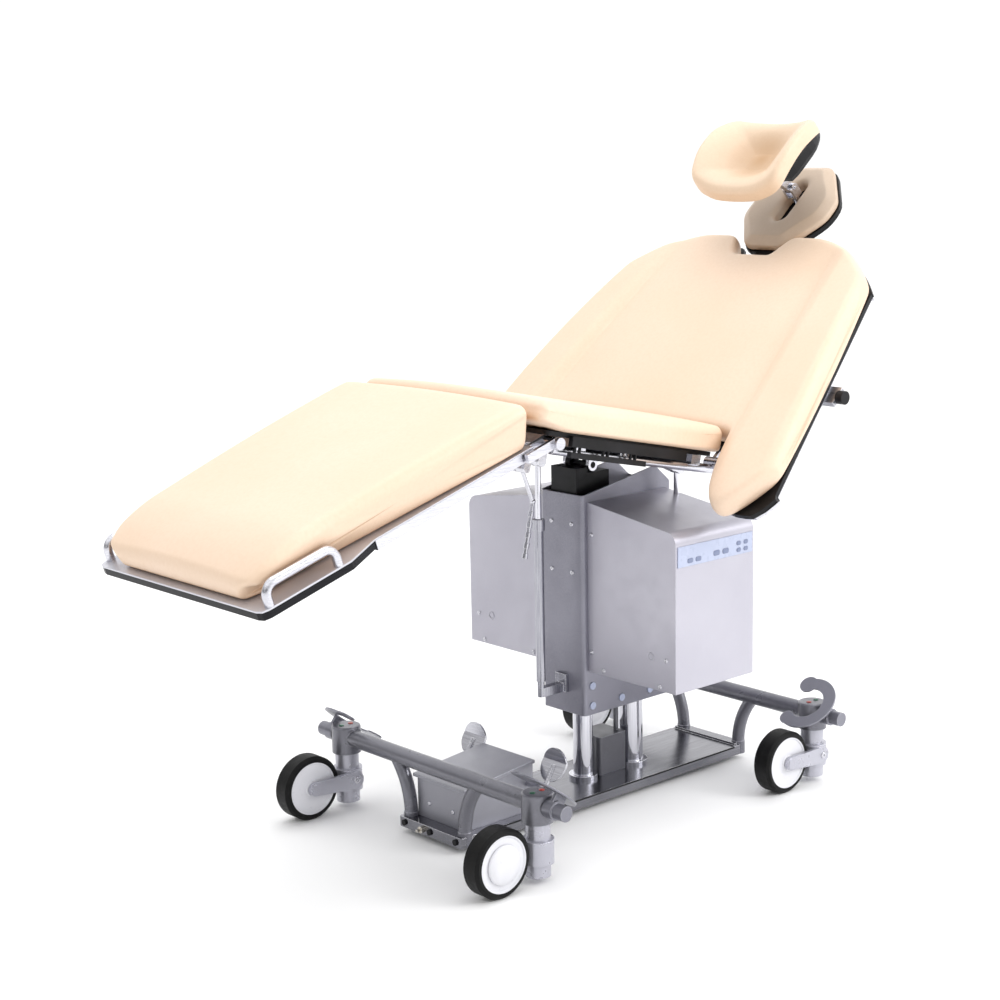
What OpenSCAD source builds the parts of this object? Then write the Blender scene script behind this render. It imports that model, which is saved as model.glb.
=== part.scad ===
// Mobile operating table for eye surgery. The base stands on four swivel castors, two columns
// carry a lifting carriage, and the seat, leg, back and head sections hinge above it.
// X runs across the table, +Y points to the head end, and Z is up from the floor.

/* [Castors] */
// Diameter of each castor wheel
wheel_d = 125; // [100:5:125]
// Width of each tyre
wheel_w = 40; // [30:1:44]
// Radial thickness of the tyre
tyre_t = 11.5; // [6:0.5:18]
// Distance of the wheel axle behind the swivel axis
trail = 97; // [96:1:120]
// Diameter of the swivel post
swivel_d = 46; // [38:1:48]
// Diameter of the wheel axle
axle_d = 10; // [8:0.5:14]
// Half spacing of the castors across the table
castor_x = 276; // [240:1:320]
// Half spacing of the castors along the table
castor_y = 377; // [340:1:420]

/* [Base] */
// Diameter of the two cross tubes
tube_d = 33; // [28:1:33]
// Height of the cross tubes' centre line above the floor
tube_z = 142; // [142:1:160]
// Diameter of the castor housings
housing_d = 57; // [50:1:66]
// Height of the housing's top above the floor
housing_top = 165; // [160:1:180]
// Height of each housing
housing_h = 54; // [48:1:60]
// Diameter of the curved legs between cross tube and base plate
leg_d = 26; // [20:1:30]
// Half spacing of the leg feet
leg_foot_x = 78; // [60:1:90]
// Half width of the base plate
plate_half_w = 90; // [80:1:120]
// Thickness of the base plate
plate_t = 20; // [12:1:24]
// Height of the base plate's top above the floor
plate_top = 32; // [28:1:44]
// Length that the plate reaches past each cross tube's centre line
plate_over = 20; // [10:1:30]

/* [Lifting column] */
// Diameter of the front guide column
guide_front_d = 40; // [30:1:44]
// Diameter of the rear guide column
guide_rear_d = 50; // [40:1:56]
// Distance between the two guide columns
guide_gap = 134; // [110:1:150]
// Height of the guide columns
guide_h = 380; // [340:1:400]
// Diameter of the lifting screw
screw_d = 10; // [8:1:16]
// Width of the column cover
cover_w = 117; // [100:1:130]
// Front face of the column cover, ahead of the front guide column
cover_front = 51; // [44:1:60]
// Length of the column cover along the table
cover_len = 245; // [230:1:270]
// Height of the cover's lower edge above the floor
cover_z = 180; // [176:1:200]
// Height of the cover's front wall
cover_h = 436; // [400:1:450]
// Rise of the gable behind the front wall
gable_rise = 35; // [10:1:50]
// Wall of the column cover
cover_wall = 3; // [2:0.5:6]

/* [Side boxes] */
// Width of each side box
box_w = 231; // [180:1:250]
// Length of each side box along the table
box_len = 216; // [180:1:230]
// Distance of a side box behind the cover's front face
box_set = 13; // [4:1:20]
// Height of the boxes' lower edge above the floor
box_bottom = 269; // [260:1:300]
// Height of a side box at its outer wall
box_h = 306; // [260:1:312]
// Drop of the box's lid from the column to the outer wall
lid_drop = 28; // [10:1:40]
// Radius of the box's outer top edge
box_r = 24; // [10:1:40]
// Height of the control strip along a box's outer wall
strip_h = 39; // [20:1:60]

/* [Seat] */
// Tilt of the seat towards the head end, in degrees
seat_tilt = 12; // [0:1:15]
// Height of the tilt axle above the floor
tilt_z = 668; // [660:1:690]
// Width of the seat cushion
seat_w = 512; // [400:1:530]
// Length of the seat cushion
seat_len = 478; // [440:1:484]
// Thickness of the seat cushion at its edges
seat_t = 50; // [36:1:60]
// Height of the seat cushion's underside above the tilt axle
seat_lift = 57; // [54:1:70]
// Thickness of the boards under the cushions
board_t = 9; // [6:1:10]
// Diameter of the seat frame's tubes
rail_d = 18; // [14:1:22]
// Distance of the knee axle ahead of the tilt axle
knee_y = 289; // [270:1:300]
// Distance of the back axle behind the tilt axle
back_y = 146; // [140:1:160]

/* [Leg section] */
// Downward slope of the leg section, in degrees
leg_tilt = 17.5; // [0:0.5:30]
// Length of the leg section from the knee axle
leg_len = 662; // [560:1:700]
// Width of the leg cushion at the knee
leg_w = 508; // [400:1:530]
// Thickness of the leg cushion at the foot end
leg_foot_t = 43; // [24:1:50]
// Thickness of the leg cushion at the knee
leg_knee_t = 92; // [60:1:96]
// Height of the grab rails beside the feet
grab_h = 34; // [30:1:50]

/* [Back section] */
// Angle of the back section above level, in degrees
back_tilt = 41; // [20:1:60]
// Width of the back section at its lower end
back_low_w = 824; // [740:1:850]
// Width of the back section at its shoulders
back_top_w = 650; // [560:1:680]
// Length of the back section above the back axle
back_len = 570; // [500:1:590]
// Length of the cushion's two lobes below the back axle
lobe_len = 138; // [100:1:150]
// Thickness of the back cushion
back_t = 58; // [40:1:70]
// Width of the notch between the shoulders
notch_w = 170; // [120:1:200]
// Depth of the notch between the shoulders
notch_depth = 54; // [30:1:70]

/* [Head section] */
// Width of the head pad
head_w = 222; // [180:1:240]
// Length of the head pad
head_len = 240; // [200:1:260]
// Thickness of the head pad
head_t = 28; // [20:1:40]
// Width of the slot in the head pad
slot_w = 30; // [24:1:40]
// Width of the headrest
rest_w = 250; // [180:1:270]
// Length of the headrest
rest_len = 210; // [150:1:230]
// Angle of the headrest against the head pad, in degrees
rest_tilt = 0; // [-20:1:20]

/* [Hidden] */
$fn = 48;

// Fits and shared small sizes
run_gap = 0.05;      // radial clearance of every turning or sliding fit
near_gap = 0.3;      // clearance between pieces that rest or pass close
cut = 1;             // overrun of every cut
edge_r = 4;          // general edge radius
soft_r = 20;         // radius of the cushion edges
pin_d = 10;          // hinge pins of the sections
pin_head_t = 3;

// Rounded rectangle from exact circles, centred
module rounded(w, l, r) {
    square([w - 2 * r, l], center = true);
    square([w, l - 2 * r], center = true);
    for (x = [-1, 1], y = [-1, 1])
        translate([x * (w / 2 - r), y * (l / 2 - r)]) circle(r);
}

// Arm outline that narrows from radius a at the origin to radius b at distance l along +Y
module taper(a, b, l) {
    t = asin((a - b) / l);
    circle(a);
    translate([0, l]) circle(b);
    polygon([[a * cos(t), a * sin(t)], [b * cos(t), l + b * sin(t)],
             [-b * cos(t), l + b * sin(t)], [-a * cos(t), a * sin(t)]]);
}

// Cylinder along X from x1 to x2
module along_x(x1, x2, d) translate([x1, 0, 0]) rotate([0, 90, 0]) cylinder(h = x2 - x1, d = d);

// Cylinder along Y from y1 to y2
module along_y(y1, y2, d) translate([0, y1, 0]) rotate([-90, 0, 0]) cylinder(h = y2 - y1, d = d);

// Plate of thickness t from x, its outline drawn as [y, z]
module side_plate(x, t) translate([x, 0, 0]) rotate([90, 0, 90]) linear_extrude(t) children();

// A child and its mirror image across the table
module both() { children(); mirror([1, 0, 0]) children(); }

// Box given by its lower corner and its upper corner
module block(a, b) translate(a) cube(b - a);

// Corner list [x, y, radius] turned into a smooth outline, m steps a corner and k steps an edge
function unit(v) = v / norm(v);
function rounding(c, m, k) = let (n = len(c),
    p = [for (q = c) [q[0], q[1]]],
    a = [for (i = [0:n - 1]) p[i] + c[i][2] * unit(p[(i + n - 1) % n] - p[i])],
    b = [for (i = [0:n - 1]) p[i] + c[i][2] * unit(p[(i + 1) % n] - p[i])])
    [for (i = [0:n - 1]) each concat(
        [for (j = [0:m]) let (t = j / m)
            (1 - t) * (1 - t) * a[i] + 2 * t * (1 - t) * p[i] + t * t * b[i]],
        [for (j = [1:k]) b[i] + (a[(i + 1) % n] - b[i]) * j / (k + 1)])];

// Outline moved inwards by e along its normals
function inset(o, e) = let (n = len(o))
    [for (i = [0:n - 1]) let (d = unit(o[(i + 1) % n] - o[(i + n - 1) % n])) o[i] + e * [-d[1], d[0]]];

// Outline shrunk towards the point c
function shrink(o, c, s) = [for (p = o) c + s * (p - c)];

// Solid through rings of equal point counts, from the lowest ring to the last; its ends are fans round their middle
function middle(ring) = [for (p = ring) 1] * ring / len(ring);
module loft(rings, closed = false) {
    m = len(rings);
    n = len(rings[0]);
    sides = [for (i = [0:closed ? m - 1 : m - 2], j = [0:n - 1]) each
        let (a = i * n + j, b = i * n + (j + 1) % n,
             c = ((i + 1) % m) * n + (j + 1) % n, d = ((i + 1) % m) * n + j) [[a, c, b], [a, d, c]]];
    ends = closed ? [] : [for (j = [0:n - 1]) each
        [[j, (j + 1) % n, m * n], [(m - 1) * n + (j + 1) % n, (m - 1) * n + j, m * n + 1]]];
    polyhedron(concat([for (r = rings) each r], closed ? [] : [middle(rings[0]), middle(rings[m - 1])]),
               concat(sides, ends), convexity = 6);
}

// Base: heights and places
plate_front = castor_y + plate_over;
plate_rear = castor_y + edge_r;
plate_bottom = plate_top - plate_t;
housing_bottom = housing_top - housing_h;
tube_wall = 3;
shaft_d = 12;
stem_d = 20;
stem_h = 20;
leg_out = 45;
leg_start = 3;
foot_d = leg_d + 2;
arc_z = plate_top + leg_start;
leg_angle = 2 * atan(leg_out / (tube_z - arc_z));
leg_arc = (tube_z - arc_z) / sin(leg_angle);
plug_d = 12;
plug_x = 74;
rim_w = 24;
rim_h = 5;
trim_t = 3;

// One curved leg, from its foot at the base plate to the cross tube's centre line
module curved_leg() {
    cylinder_at([leg_foot_x, 0, plate_bottom], arc_z - plate_bottom + edge_r, foot_d);
    translate([leg_foot_x + leg_arc, 0, arc_z]) rotate([90, 0, 0]) rotate([0, 0, 180 - leg_angle])
        rotate_extrude(angle = leg_angle) translate([leg_arc, 0]) circle(d = leg_d);
}

// Cross tube with its two housings and legs, centred on its own line
module cross_frame() {
    difference() {
        union() {
            translate([0, 0, tube_z]) along_x(-castor_x, castor_x, tube_d);
            both() curved_leg();
        }
        translate([0, 0, tube_z]) along_x(-castor_x, castor_x, tube_d - 2 * tube_wall);
        both() translate([castor_x, 0, 0]) cylinder(h = housing_top, d = housing_d - edge_r);
    }
    both() translate([castor_x, 0, 0]) difference() {
        rotate_extrude() {
            square_from(0, housing_bottom, housing_d / 2, housing_top - edge_r);
            square_from(0, housing_top - edge_r - cut, housing_d / 2 - edge_r, housing_top);
            translate([housing_d / 2 - edge_r, housing_top - edge_r]) circle(edge_r);
        }
        translate([0, 0, housing_bottom - cut])
            cylinder(h = cut + stem_h + near_gap, d = stem_d + 2 * run_gap);
        translate([0, 0, tube_z]) along_x(-housing_d, housing_d, shaft_d + 2 * run_gap);
    }
}

// Cylinder of height h and diameter d standing on the point p
module cylinder_at(p, h, d) translate(p) cylinder(h = h, d = d);
// Rectangle between two corners
module square_from(x1, y1, x2, y2) translate([x1, y1]) square([x2 - x1, y2 - y1]);

module base_plate() color([0.78, 0.78, 0.8]) difference() {
    union() {
        translate([0, (plate_rear - plate_front) / 2, plate_bottom]) linear_extrude(plate_t)
            rounded(2 * plate_half_w, plate_front + plate_rear, edge_r);
        block([-plate_half_w + edge_r, plate_rear - rim_w, plate_top],
              [plate_half_w - edge_r, plate_rear, plate_top + rim_h]);
    }
    for (y = [-1, 1]) translate([0, y * castor_y, 0]) both()
        translate([leg_foot_x, 0, plate_bottom - cut]) cylinder(h = plate_t + rim_h + 2 * cut, d = foot_d);
}

module frame_front() color([0.72, 0.72, 0.76]) translate([0, -castor_y, 0]) cross_frame();
module frame_rear() color([0.72, 0.72, 0.76]) translate([0, castor_y, 0]) cross_frame();

module base_trim() color([0.08, 0.08, 0.08]) {
    for (x = [-1, 0, 1]) translate([x * plug_x, -plate_front - trim_t, (plate_top + plate_bottom) / 2])
        along_y(0, trim_t, plug_d);
    both() block([plate_half_w, -castor_y + leg_d, plate_top - trim_t],
                 [plate_half_w + trim_t / 2, castor_y - leg_d, plate_top]);
}

// Lifting columns, screw and drive on the base plate
foot_flange_h = 8;
foot_flange_over = 9;
drive_w = 70;
drive_len = 72;
drive_h = 78;
drive_y = 64;
drive_x = 14;
screw_y = 92;

module guide_columns() color([0.85, 0.86, 0.88])
    for (c = [[0, guide_front_d], [guide_gap, guide_rear_d]]) translate([0, c[0], plate_top]) {
        cylinder(h = guide_h, d = c[1]);
        cylinder(h = foot_flange_h, d = c[1] + 2 * foot_flange_over);
    }

module lift_drive() color([0.45, 0.46, 0.5]) difference() {
    union() {
        translate([-drive_x, drive_y, plate_top]) linear_extrude(drive_h) rounded(drive_w, drive_len, edge_r);
        translate([0, screw_y, plate_top]) cylinder(h = guide_h, d = screw_d);
    }
    translate([0, 0, plate_top - cut]) cylinder(h = drive_h + 2 * cut, d = guide_front_d + 2 * foot_flange_over + 2 * near_gap);
    translate([0, guide_gap, plate_top - cut]) cylinder(h = drive_h + 2 * cut, d = guide_rear_d + 2 * foot_flange_over + 2 * near_gap);
}

// Foot switch unit on the front of the base plate
pedal_box_w = 136;
pedal_box_front = 368;
pedal_box_len = 170;
pedal_box_h = 78;
hood_rise = 18;
hood_t = 4;
hood_over = 6;
pedal_d = 64;
pedal_t = 4;
pedal_x = 115;
pedal_reach = 48;
pedal_bend = 8;
pedal_low_tilt = 60;
pedal_top_tilt = 86;
pedal_arm_d = 12;
pedal_neck_d = 10;
pedal_axle_y = 212;
pedal_axle_z = 88;

module pedal_box() color([0.5, 0.51, 0.55]) difference() {
    union() {
        side_plate(-pedal_box_w / 2, pedal_box_w) polygon([
            [-pedal_box_front, plate_top], [-pedal_box_front + pedal_box_len, plate_top],
            [-pedal_box_front + pedal_box_len, plate_top + pedal_box_h + hood_rise],
            [-pedal_box_front, plate_top + pedal_box_h]]);
        side_plate(-pedal_box_w / 2 - hood_over, pedal_box_w + 2 * hood_over) polygon([
            [-pedal_box_front - hood_over, plate_top + pedal_box_h - hood_t / 2],
            [-pedal_box_front + pedal_box_len, plate_top + pedal_box_h + hood_rise - hood_t / 2],
            [-pedal_box_front + pedal_box_len, plate_top + pedal_box_h + hood_rise + hood_t],
            [-pedal_box_front - hood_over, plate_top + pedal_box_h + hood_t]]);
    }
    translate([0, -pedal_axle_y, pedal_axle_z])
        along_x(-pedal_box_w, pedal_box_w, pedal_arm_d + 2 * run_gap);
}

// Foot pedal: a round plate bent across its middle, on a neck that rises from a stub axle in the box
module foot_pedal() color([0.75, 0.76, 0.78]) translate([0, -pedal_axle_y, pedal_axle_z]) {
    low = [cos(pedal_low_tilt), sin(pedal_low_tilt)];
    top = [cos(pedal_top_tilt), sin(pedal_top_tilt)];
    mid = (pedal_low_tilt + pedal_top_tilt) / 2;
    bend = (pedal_reach + pedal_bend) * low;
    back = pedal_t / cos(pedal_top_tilt - mid) * [sin(mid), -cos(mid)];
    along_x(pedal_box_w / 4, pedal_x + pedal_arm_d, pedal_arm_d);
    translate([pedal_x, 0, 0]) rotate([pedal_low_tilt - 90, 0, 0]) cylinder(h = pedal_reach, d = pedal_neck_d);
    intersection() {
        side_plate(pedal_x - pedal_d, 2 * pedal_d) polygon([
            bend - pedal_d * low, bend, bend + pedal_d * top,
            bend + pedal_d * top + pedal_t * [top[1], -top[0]], bend + back,
            bend - pedal_d * low + pedal_t * [low[1], -low[0]]]);
        translate([pedal_x, pedal_reach * low[0], pedal_reach * low[1]]) rotate([mid, 0, 0])
            cylinder(h = 2 * pedal_d, d = pedal_d, center = true);
    }
}
module pedal_near() foot_pedal();
module pedal_far() mirror([1, 0, 0]) foot_pedal();

// Earthing stud on the plate's front face
stud_d = 6;
stud_len = 14;
stud_x = 22;
stud_collar_d = 13;
module earth_pin() color([0.85, 0.8, 0.6])
    translate([-stud_x, -plate_front, (plate_top + plate_bottom) / 2]) {
        along_y(-stud_len, 0, stud_d);
        along_y(-stud_d, 0, stud_collar_d);
    }

// Brake pedals: a shaft through both housings with a C-shaped plate at each end
brake_tilt = 38;
brake_rise = 27;
brake_ring_r = 62;
brake_hole_r = 36;
brake_t = 3;
brake_sweep = 118;
brake_hub_d = 34;
brake_hub_t = 22;
brake_knob_d = 28;
brake_knob_len = 24;
brake_pad_r = 19;
brake_tip_r = 15;

module brake_end() translate([castor_x, 0, 0]) {
    x0 = housing_d / 2 + near_gap;
    along_x(x0, x0 + brake_hub_t, brake_hub_d);
    along_x(x0, x0 + brake_hub_t + brake_knob_len, brake_knob_d);
    block([brake_hole_r + brake_t, brake_t - brake_hub_d / 2, 0],
          [brake_hole_r + 3 * brake_t, brake_hub_d / 2 - brake_t, brake_rise + brake_t / 2]);
    translate([0, 0, brake_rise]) {
        rotate([0, 0, -brake_sweep]) rotate_extrude(angle = 2 * brake_sweep)
            square_from(brake_hole_r, 0, brake_ring_r, brake_t);
        for (e = [[-brake_sweep, brake_tip_r], [brake_sweep, brake_pad_r]])
            rotate([0, 0, e[0]]) translate([(brake_ring_r + brake_hole_r) / 2, 0, 0]) cylinder(h = brake_t, r = e[1]);
    }
}
module brake(s) color([0.55, 0.56, 0.6]) translate([0, s * castor_y, tube_z]) mirror([0, s < 0 ? 1 : 0, 0]) rotate([brake_tilt, 0, 0]) {
    along_x(-castor_x - housing_d / 2 - brake_hub_t, castor_x + housing_d / 2 + brake_hub_t, shaft_d);
    both() brake_end();
}
module brake_front() brake(-1);
module brake_rear() brake(1);

// Castors: a swivel post with a one-sided arm, and a wheel trailing towards the foot end
post_clear = 12;
swivel_gap = 1;
collar_h = 44;
collar_z = 36;
collar_d = 58;
arm_t = 8;
arm_big = 17;
arm_small = 13;
arm_gap = 1.5;
cap_d = 20;
dish = 2;
dish_r = 14;
tyre_bevel = 5;

module yoke(side) {
    x1 = wheel_w / 2 + arm_gap;
    slope = atan((collar_z + collar_h / 2 - wheel_d / 2) / trail);
    cylinder_at([0, 0, post_clear], housing_bottom - swivel_gap - post_clear, swivel_d);
    cylinder_at([0, 0, housing_bottom - swivel_gap - cut], stem_h + swivel_gap + cut, stem_d);
    cylinder_at([0, 0, collar_z], collar_h, collar_d);
    mirror([side < 0 ? 1 : 0, 0, 0]) {
        translate([x1, 0, collar_z + collar_h / 2]) rotate([0, 90, 0]) rotate([0, 0, 180 + slope])
            linear_extrude(arm_t) taper(arm_big, arm_small, trail);
        translate([0, -trail, wheel_d / 2]) {
            along_x(-wheel_w / 2 - arm_gap - cut, x1 + arm_t / 2, axle_d);
            along_x(-wheel_w / 2 - arm_gap - pin_head_t, -wheel_w / 2 - arm_gap / 2, cap_d);
            along_x(x1 + arm_t / 2, x1 + arm_t + pin_head_t / 2, cap_d);
        }
    }
}
module castor_place(sx, sy) translate([sx * castor_x, sy * castor_y, 0]) children();
module yoke_at(sx, sy, side) color([0.62, 0.63, 0.67]) castor_place(sx, sy) yoke(side);
module yoke_front_near() yoke_at(1, -1, -1);
module yoke_front_far() yoke_at(-1, -1, 1);
module yoke_rear_near() yoke_at(1, 1, 1);
module yoke_rear_far() yoke_at(-1, 1, -1);

hub_r = wheel_d / 2 - tyre_t;
module hub(sx, sy) color([0.82, 0.82, 0.84]) castor_place(sx, sy) translate([0, -trail, wheel_d / 2])
    rotate([0, 90, 0]) rotate_extrude() polygon([
        [axle_d / 2 + run_gap, -wheel_w / 2], [dish_r, -wheel_w / 2], [dish_r + dish, -wheel_w / 2 + dish],
        [hub_r - 2 * dish, -wheel_w / 2 + dish], [hub_r - dish, -wheel_w / 2], [hub_r, -wheel_w / 2],
        [hub_r, wheel_w / 2], [hub_r - dish, wheel_w / 2], [hub_r - 2 * dish, wheel_w / 2 - dish],
        [dish_r + dish, wheel_w / 2 - dish], [dish_r, wheel_w / 2], [axle_d / 2 + run_gap, wheel_w / 2]]);
module tyre(sx, sy) color([0.05, 0.05, 0.05]) castor_place(sx, sy) translate([0, -trail, wheel_d / 2])
    rotate([0, 90, 0]) rotate_extrude($fn = 72) polygon([
        [hub_r, -wheel_w / 2], [wheel_d / 2 - tyre_bevel, -wheel_w / 2], [wheel_d / 2, -wheel_w / 2 + tyre_bevel],
        [wheel_d / 2, wheel_w / 2 - tyre_bevel], [wheel_d / 2 - tyre_bevel, wheel_w / 2], [hub_r, wheel_w / 2]]);
module hub_front_near() hub(1, -1);
module hub_front_far() hub(-1, -1);
module hub_rear_near() hub(1, 1);
module hub_rear_far() hub(-1, 1);
module tyre_front_near() tyre(1, -1);
module tyre_front_far() tyre(-1, -1);
module tyre_rear_near() tyre(1, 1);
module tyre_rear_far() tyre(-1, 1);

// Column cover and the parts inside it
cover_top = cover_z + cover_h;
cover_rear = cover_len - cover_front;
cover_r = 8;
gable_back = 45;
bearing_up = 85;
bearing_h = 130;
cap_plate_t = 10;
cap_plate_down = 16;
head_half_w = 35;
head_front = 44;
head_rear = 44;
head_step = 30;
head_up = 3;
ear_t = 12;
ear_in = 16;
ear_r = 13;
tilt_pin_d = 12;

module cover_outline(inner) translate([0, (cover_rear - cover_front) / 2])
    rounded(cover_w - 2 * inner, cover_len - 2 * inner, cover_r - inner);

module cover_prism(inner) intersection() {
    translate([0, 0, cover_z - cut]) linear_extrude(cover_h + gable_rise + 2 * cut) cover_outline(inner);
    side_plate(-cover_w, 2 * cover_w) polygon([
        [-cover_len, cover_z], [cover_len + cover_rear, cover_z],
        [cover_rear, cover_top - edge_r], [cover_rear - gable_back, cover_top + gable_rise],
        [-cover_front, cover_top], [-cover_len, cover_top]]);
}

module column_cover() color([0.7, 0.71, 0.76]) difference() {
    cover_prism(0);
    translate([0, 0, cover_z - 2 * cut]) linear_extrude(cover_h + gable_rise + 4 * cut) cover_outline(cover_wall);
}

module lift_bearing() color([0.3, 0.3, 0.33]) difference() {
    translate([0, 0, cover_z + bearing_up]) linear_extrude(bearing_h) cover_outline(cover_wall);
    for (c = [[0, guide_front_d], [guide_gap, guide_rear_d]])
        translate([0, c[0], cover_z]) cylinder(h = cover_h, d = c[1] + 2 * run_gap);
    translate([0, screw_y, cover_z]) cylinder(h = cover_h, d = screw_d + 2 * run_gap);
}

module tilt_head() color([0.06, 0.06, 0.07]) {
    translate([0, 0, cover_top - cap_plate_down - cap_plate_t]) linear_extrude(cap_plate_t) cover_outline(cover_wall);
    block([-head_half_w, -head_front, cover_top - cap_plate_down - cut],
          [head_half_w, head_rear, tilt_z - ear_r - 2 * near_gap]);
    block([-head_half_w, -head_front, tilt_z - 2 * ear_r], [head_half_w, -head_front + head_step, tilt_z - head_up]);
    both() side_plate(ear_in, ear_t) translate([0, tilt_z]) union() {
        circle(ear_r);
        square_from(-ear_r, -2 * ear_r, ear_r, 0);
    }
    translate([0, 0, tilt_z]) along_x(-ear_in - ear_t - lug_t - 2 * near_gap, ear_in + ear_t + lug_t + 2 * near_gap, tilt_pin_d);
}

// Side boxes
box_in = cover_w / 2;
box_front = -cover_front + box_set;
box_out = box_in + box_w;
lid_in_z = box_bottom + box_h + lid_drop;
module side_box() translate([0, box_front + box_len, 0]) rotate([90, 0, 0]) linear_extrude(box_len) {
    polygon([[box_in, box_bottom], [box_out, box_bottom], [box_out, box_bottom + box_h - box_r],
             [box_out - box_r, box_bottom + box_h], [box_in, lid_in_z]]);
    translate([box_out - box_r, box_bottom + box_h - box_r]) circle(box_r);
}
module side_boxes() color([0.76, 0.77, 0.81]) difference() {
    both() side_box();
    both() translate([rod_x, rod_y, lid_in_z - rod_run - rod_clear]) cylinder(h = 2 * rod_run + rod_clear, d = rod_d + 2 * run_gap);
}

strip_t = 1.5;
strip_side = 5;
strip_down = 27;
module control_strip() color([0.8, 0.85, 0.92])
    block([box_out, box_front + strip_side, box_bottom + box_h - strip_down - strip_h],
          [box_out + strip_t, box_front + box_len - strip_side, box_bottom + box_h - strip_down]);

port_d = 15;
port_t = 2;
port_inset = 22;
port_low = 18;
port_step = 40;
module port_caps() color([0.72, 0.8, 0.92]) both() {
    for (p = [[0, port_low], [0, port_low + port_step], [2 * port_step, port_low], [4 * port_step, port_low]])
        translate([cover_w / 2, -cover_front + port_inset + p[0], cover_z + p[1]]) along_x(0, port_t, port_d);
}

// Gas strut in front of the column and the two tilt rods
strut_y = 111;
strut_low = 253;
strut_d = 18;
strut_top = 573;
strut_rod_d = 14;
strut_rod_in = 150;
strut_collar_d = 24;
strut_collar_h = 22;
strut_bore = 200;
bracket_w = 30;
bracket_low = 222;
bracket_h = 36;
bracket_t = 8;
eye_r = 10;
eye_t = 12;
eye_bore = 10;
strut_pin_y = 112;
strut_pin_z = 6;
tilt_rod_y = 167.3;
tilt_rod_z = 15;
rod_x = 100;
rod_y = 166.5;
rod_d = 12;
rod_run = 90;
rod_clear = 15;

module strut_cylinder() color([0.75, 0.76, 0.8]) difference() {
    union() {
        cylinder_at([0, -strut_y, strut_low], strut_top - strut_low, strut_d);
        cylinder_at([0, -strut_y, strut_top - strut_collar_h], strut_collar_h, strut_collar_d);
        cylinder_at([0, -strut_y, bracket_low], strut_low - bracket_low + cut, strut_d - bracket_t / 2);
        block([-bracket_w / 2, -cover_front - bracket_t, bracket_low], [bracket_w / 2, -cover_front, bracket_low + bracket_h]);
        block([-bracket_t, -strut_y, bracket_low], [bracket_t, -cover_front, bracket_low + bracket_h / 2]);
    }
    cylinder_at([0, -strut_y, strut_top - strut_bore], strut_bore + cut, strut_rod_d + 2 * run_gap);
}
// Height of a point of the seat frame above the floor, and its place along the table
function seat_point_z(y, z) = tilt_z - y * sin(seat_tilt) + z * cos(seat_tilt);
strut_eye_z = seat_point_z(-strut_pin_y, -strut_pin_z);
rod_eye_z = seat_point_z(tilt_rod_y, tilt_rod_z);

// Rod with an eye at its upper end, from z1 up to the eye's centre z2
module eye_rod(z1, z2, d) difference() {
    union() {
        cylinder_at([0, 0, z1], z2 - z1, d);
        translate([0, 0, z2]) along_x(-eye_t / 2, eye_t / 2, 2 * eye_r - cut);
    }
    translate([0, 0, z2]) along_x(-eye_t, eye_t, eye_bore);
}
module strut_rod() color([0.88, 0.88, 0.9]) translate([0, -strut_y, 0])
    eye_rod(strut_top - strut_rod_in, strut_eye_z, strut_rod_d - 2);
module tilt_rods() color([0.88, 0.88, 0.9]) both() translate([rod_x, rod_y, 0])
    eye_rod(lid_in_z - rod_run, rod_eye_z, rod_d);

// Seat, in a frame that turns about the tilt axle
lug_t = 8;
rail_z = 24;
knee_z = 36;
back_z = 36;
rail_x = 214;
barrel_d = 23;
barrel_len = 20;
bearer_w = 24;
bearer_x = 226;
bearer_y = [-237, -124, 68];
lug_r = 12;
fork_pin_d = 6;
fork_gap = 0.8;
plate_w = 6;
seat_crown = 8;
bar_x = ear_in + ear_t + near_gap;
bar_w = 16;
barrel_x = rail_x - barrel_len / 2;

module at_tilt() translate([0, 0, tilt_z]) rotate([-seat_tilt, 0, 0]) children();
module at_knee() at_tilt() translate([0, -knee_y, knee_z]) rotate([seat_tilt + leg_tilt, 0, 0]) children();
module at_back() at_tilt() translate([0, back_y, back_z]) rotate([seat_tilt + back_tilt, 0, 0]) children();

// Pair of plates round an eye at x, their pin along X, outline drawn as [y, z] by the children
module eye_plates(x, y, z, r) {
    for (s = [-1, 1]) translate([x + s * (eye_t / 2 + fork_gap + plate_w / 2) - plate_w / 2, 0, 0]) side_plate(0, plate_w) {
        translate([y, z]) circle(r);
        children();
    }
    translate([x, y, z]) along_x(-eye_t / 2 - fork_gap - plate_w, eye_t / 2 + fork_gap + plate_w, fork_pin_d);
}

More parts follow.
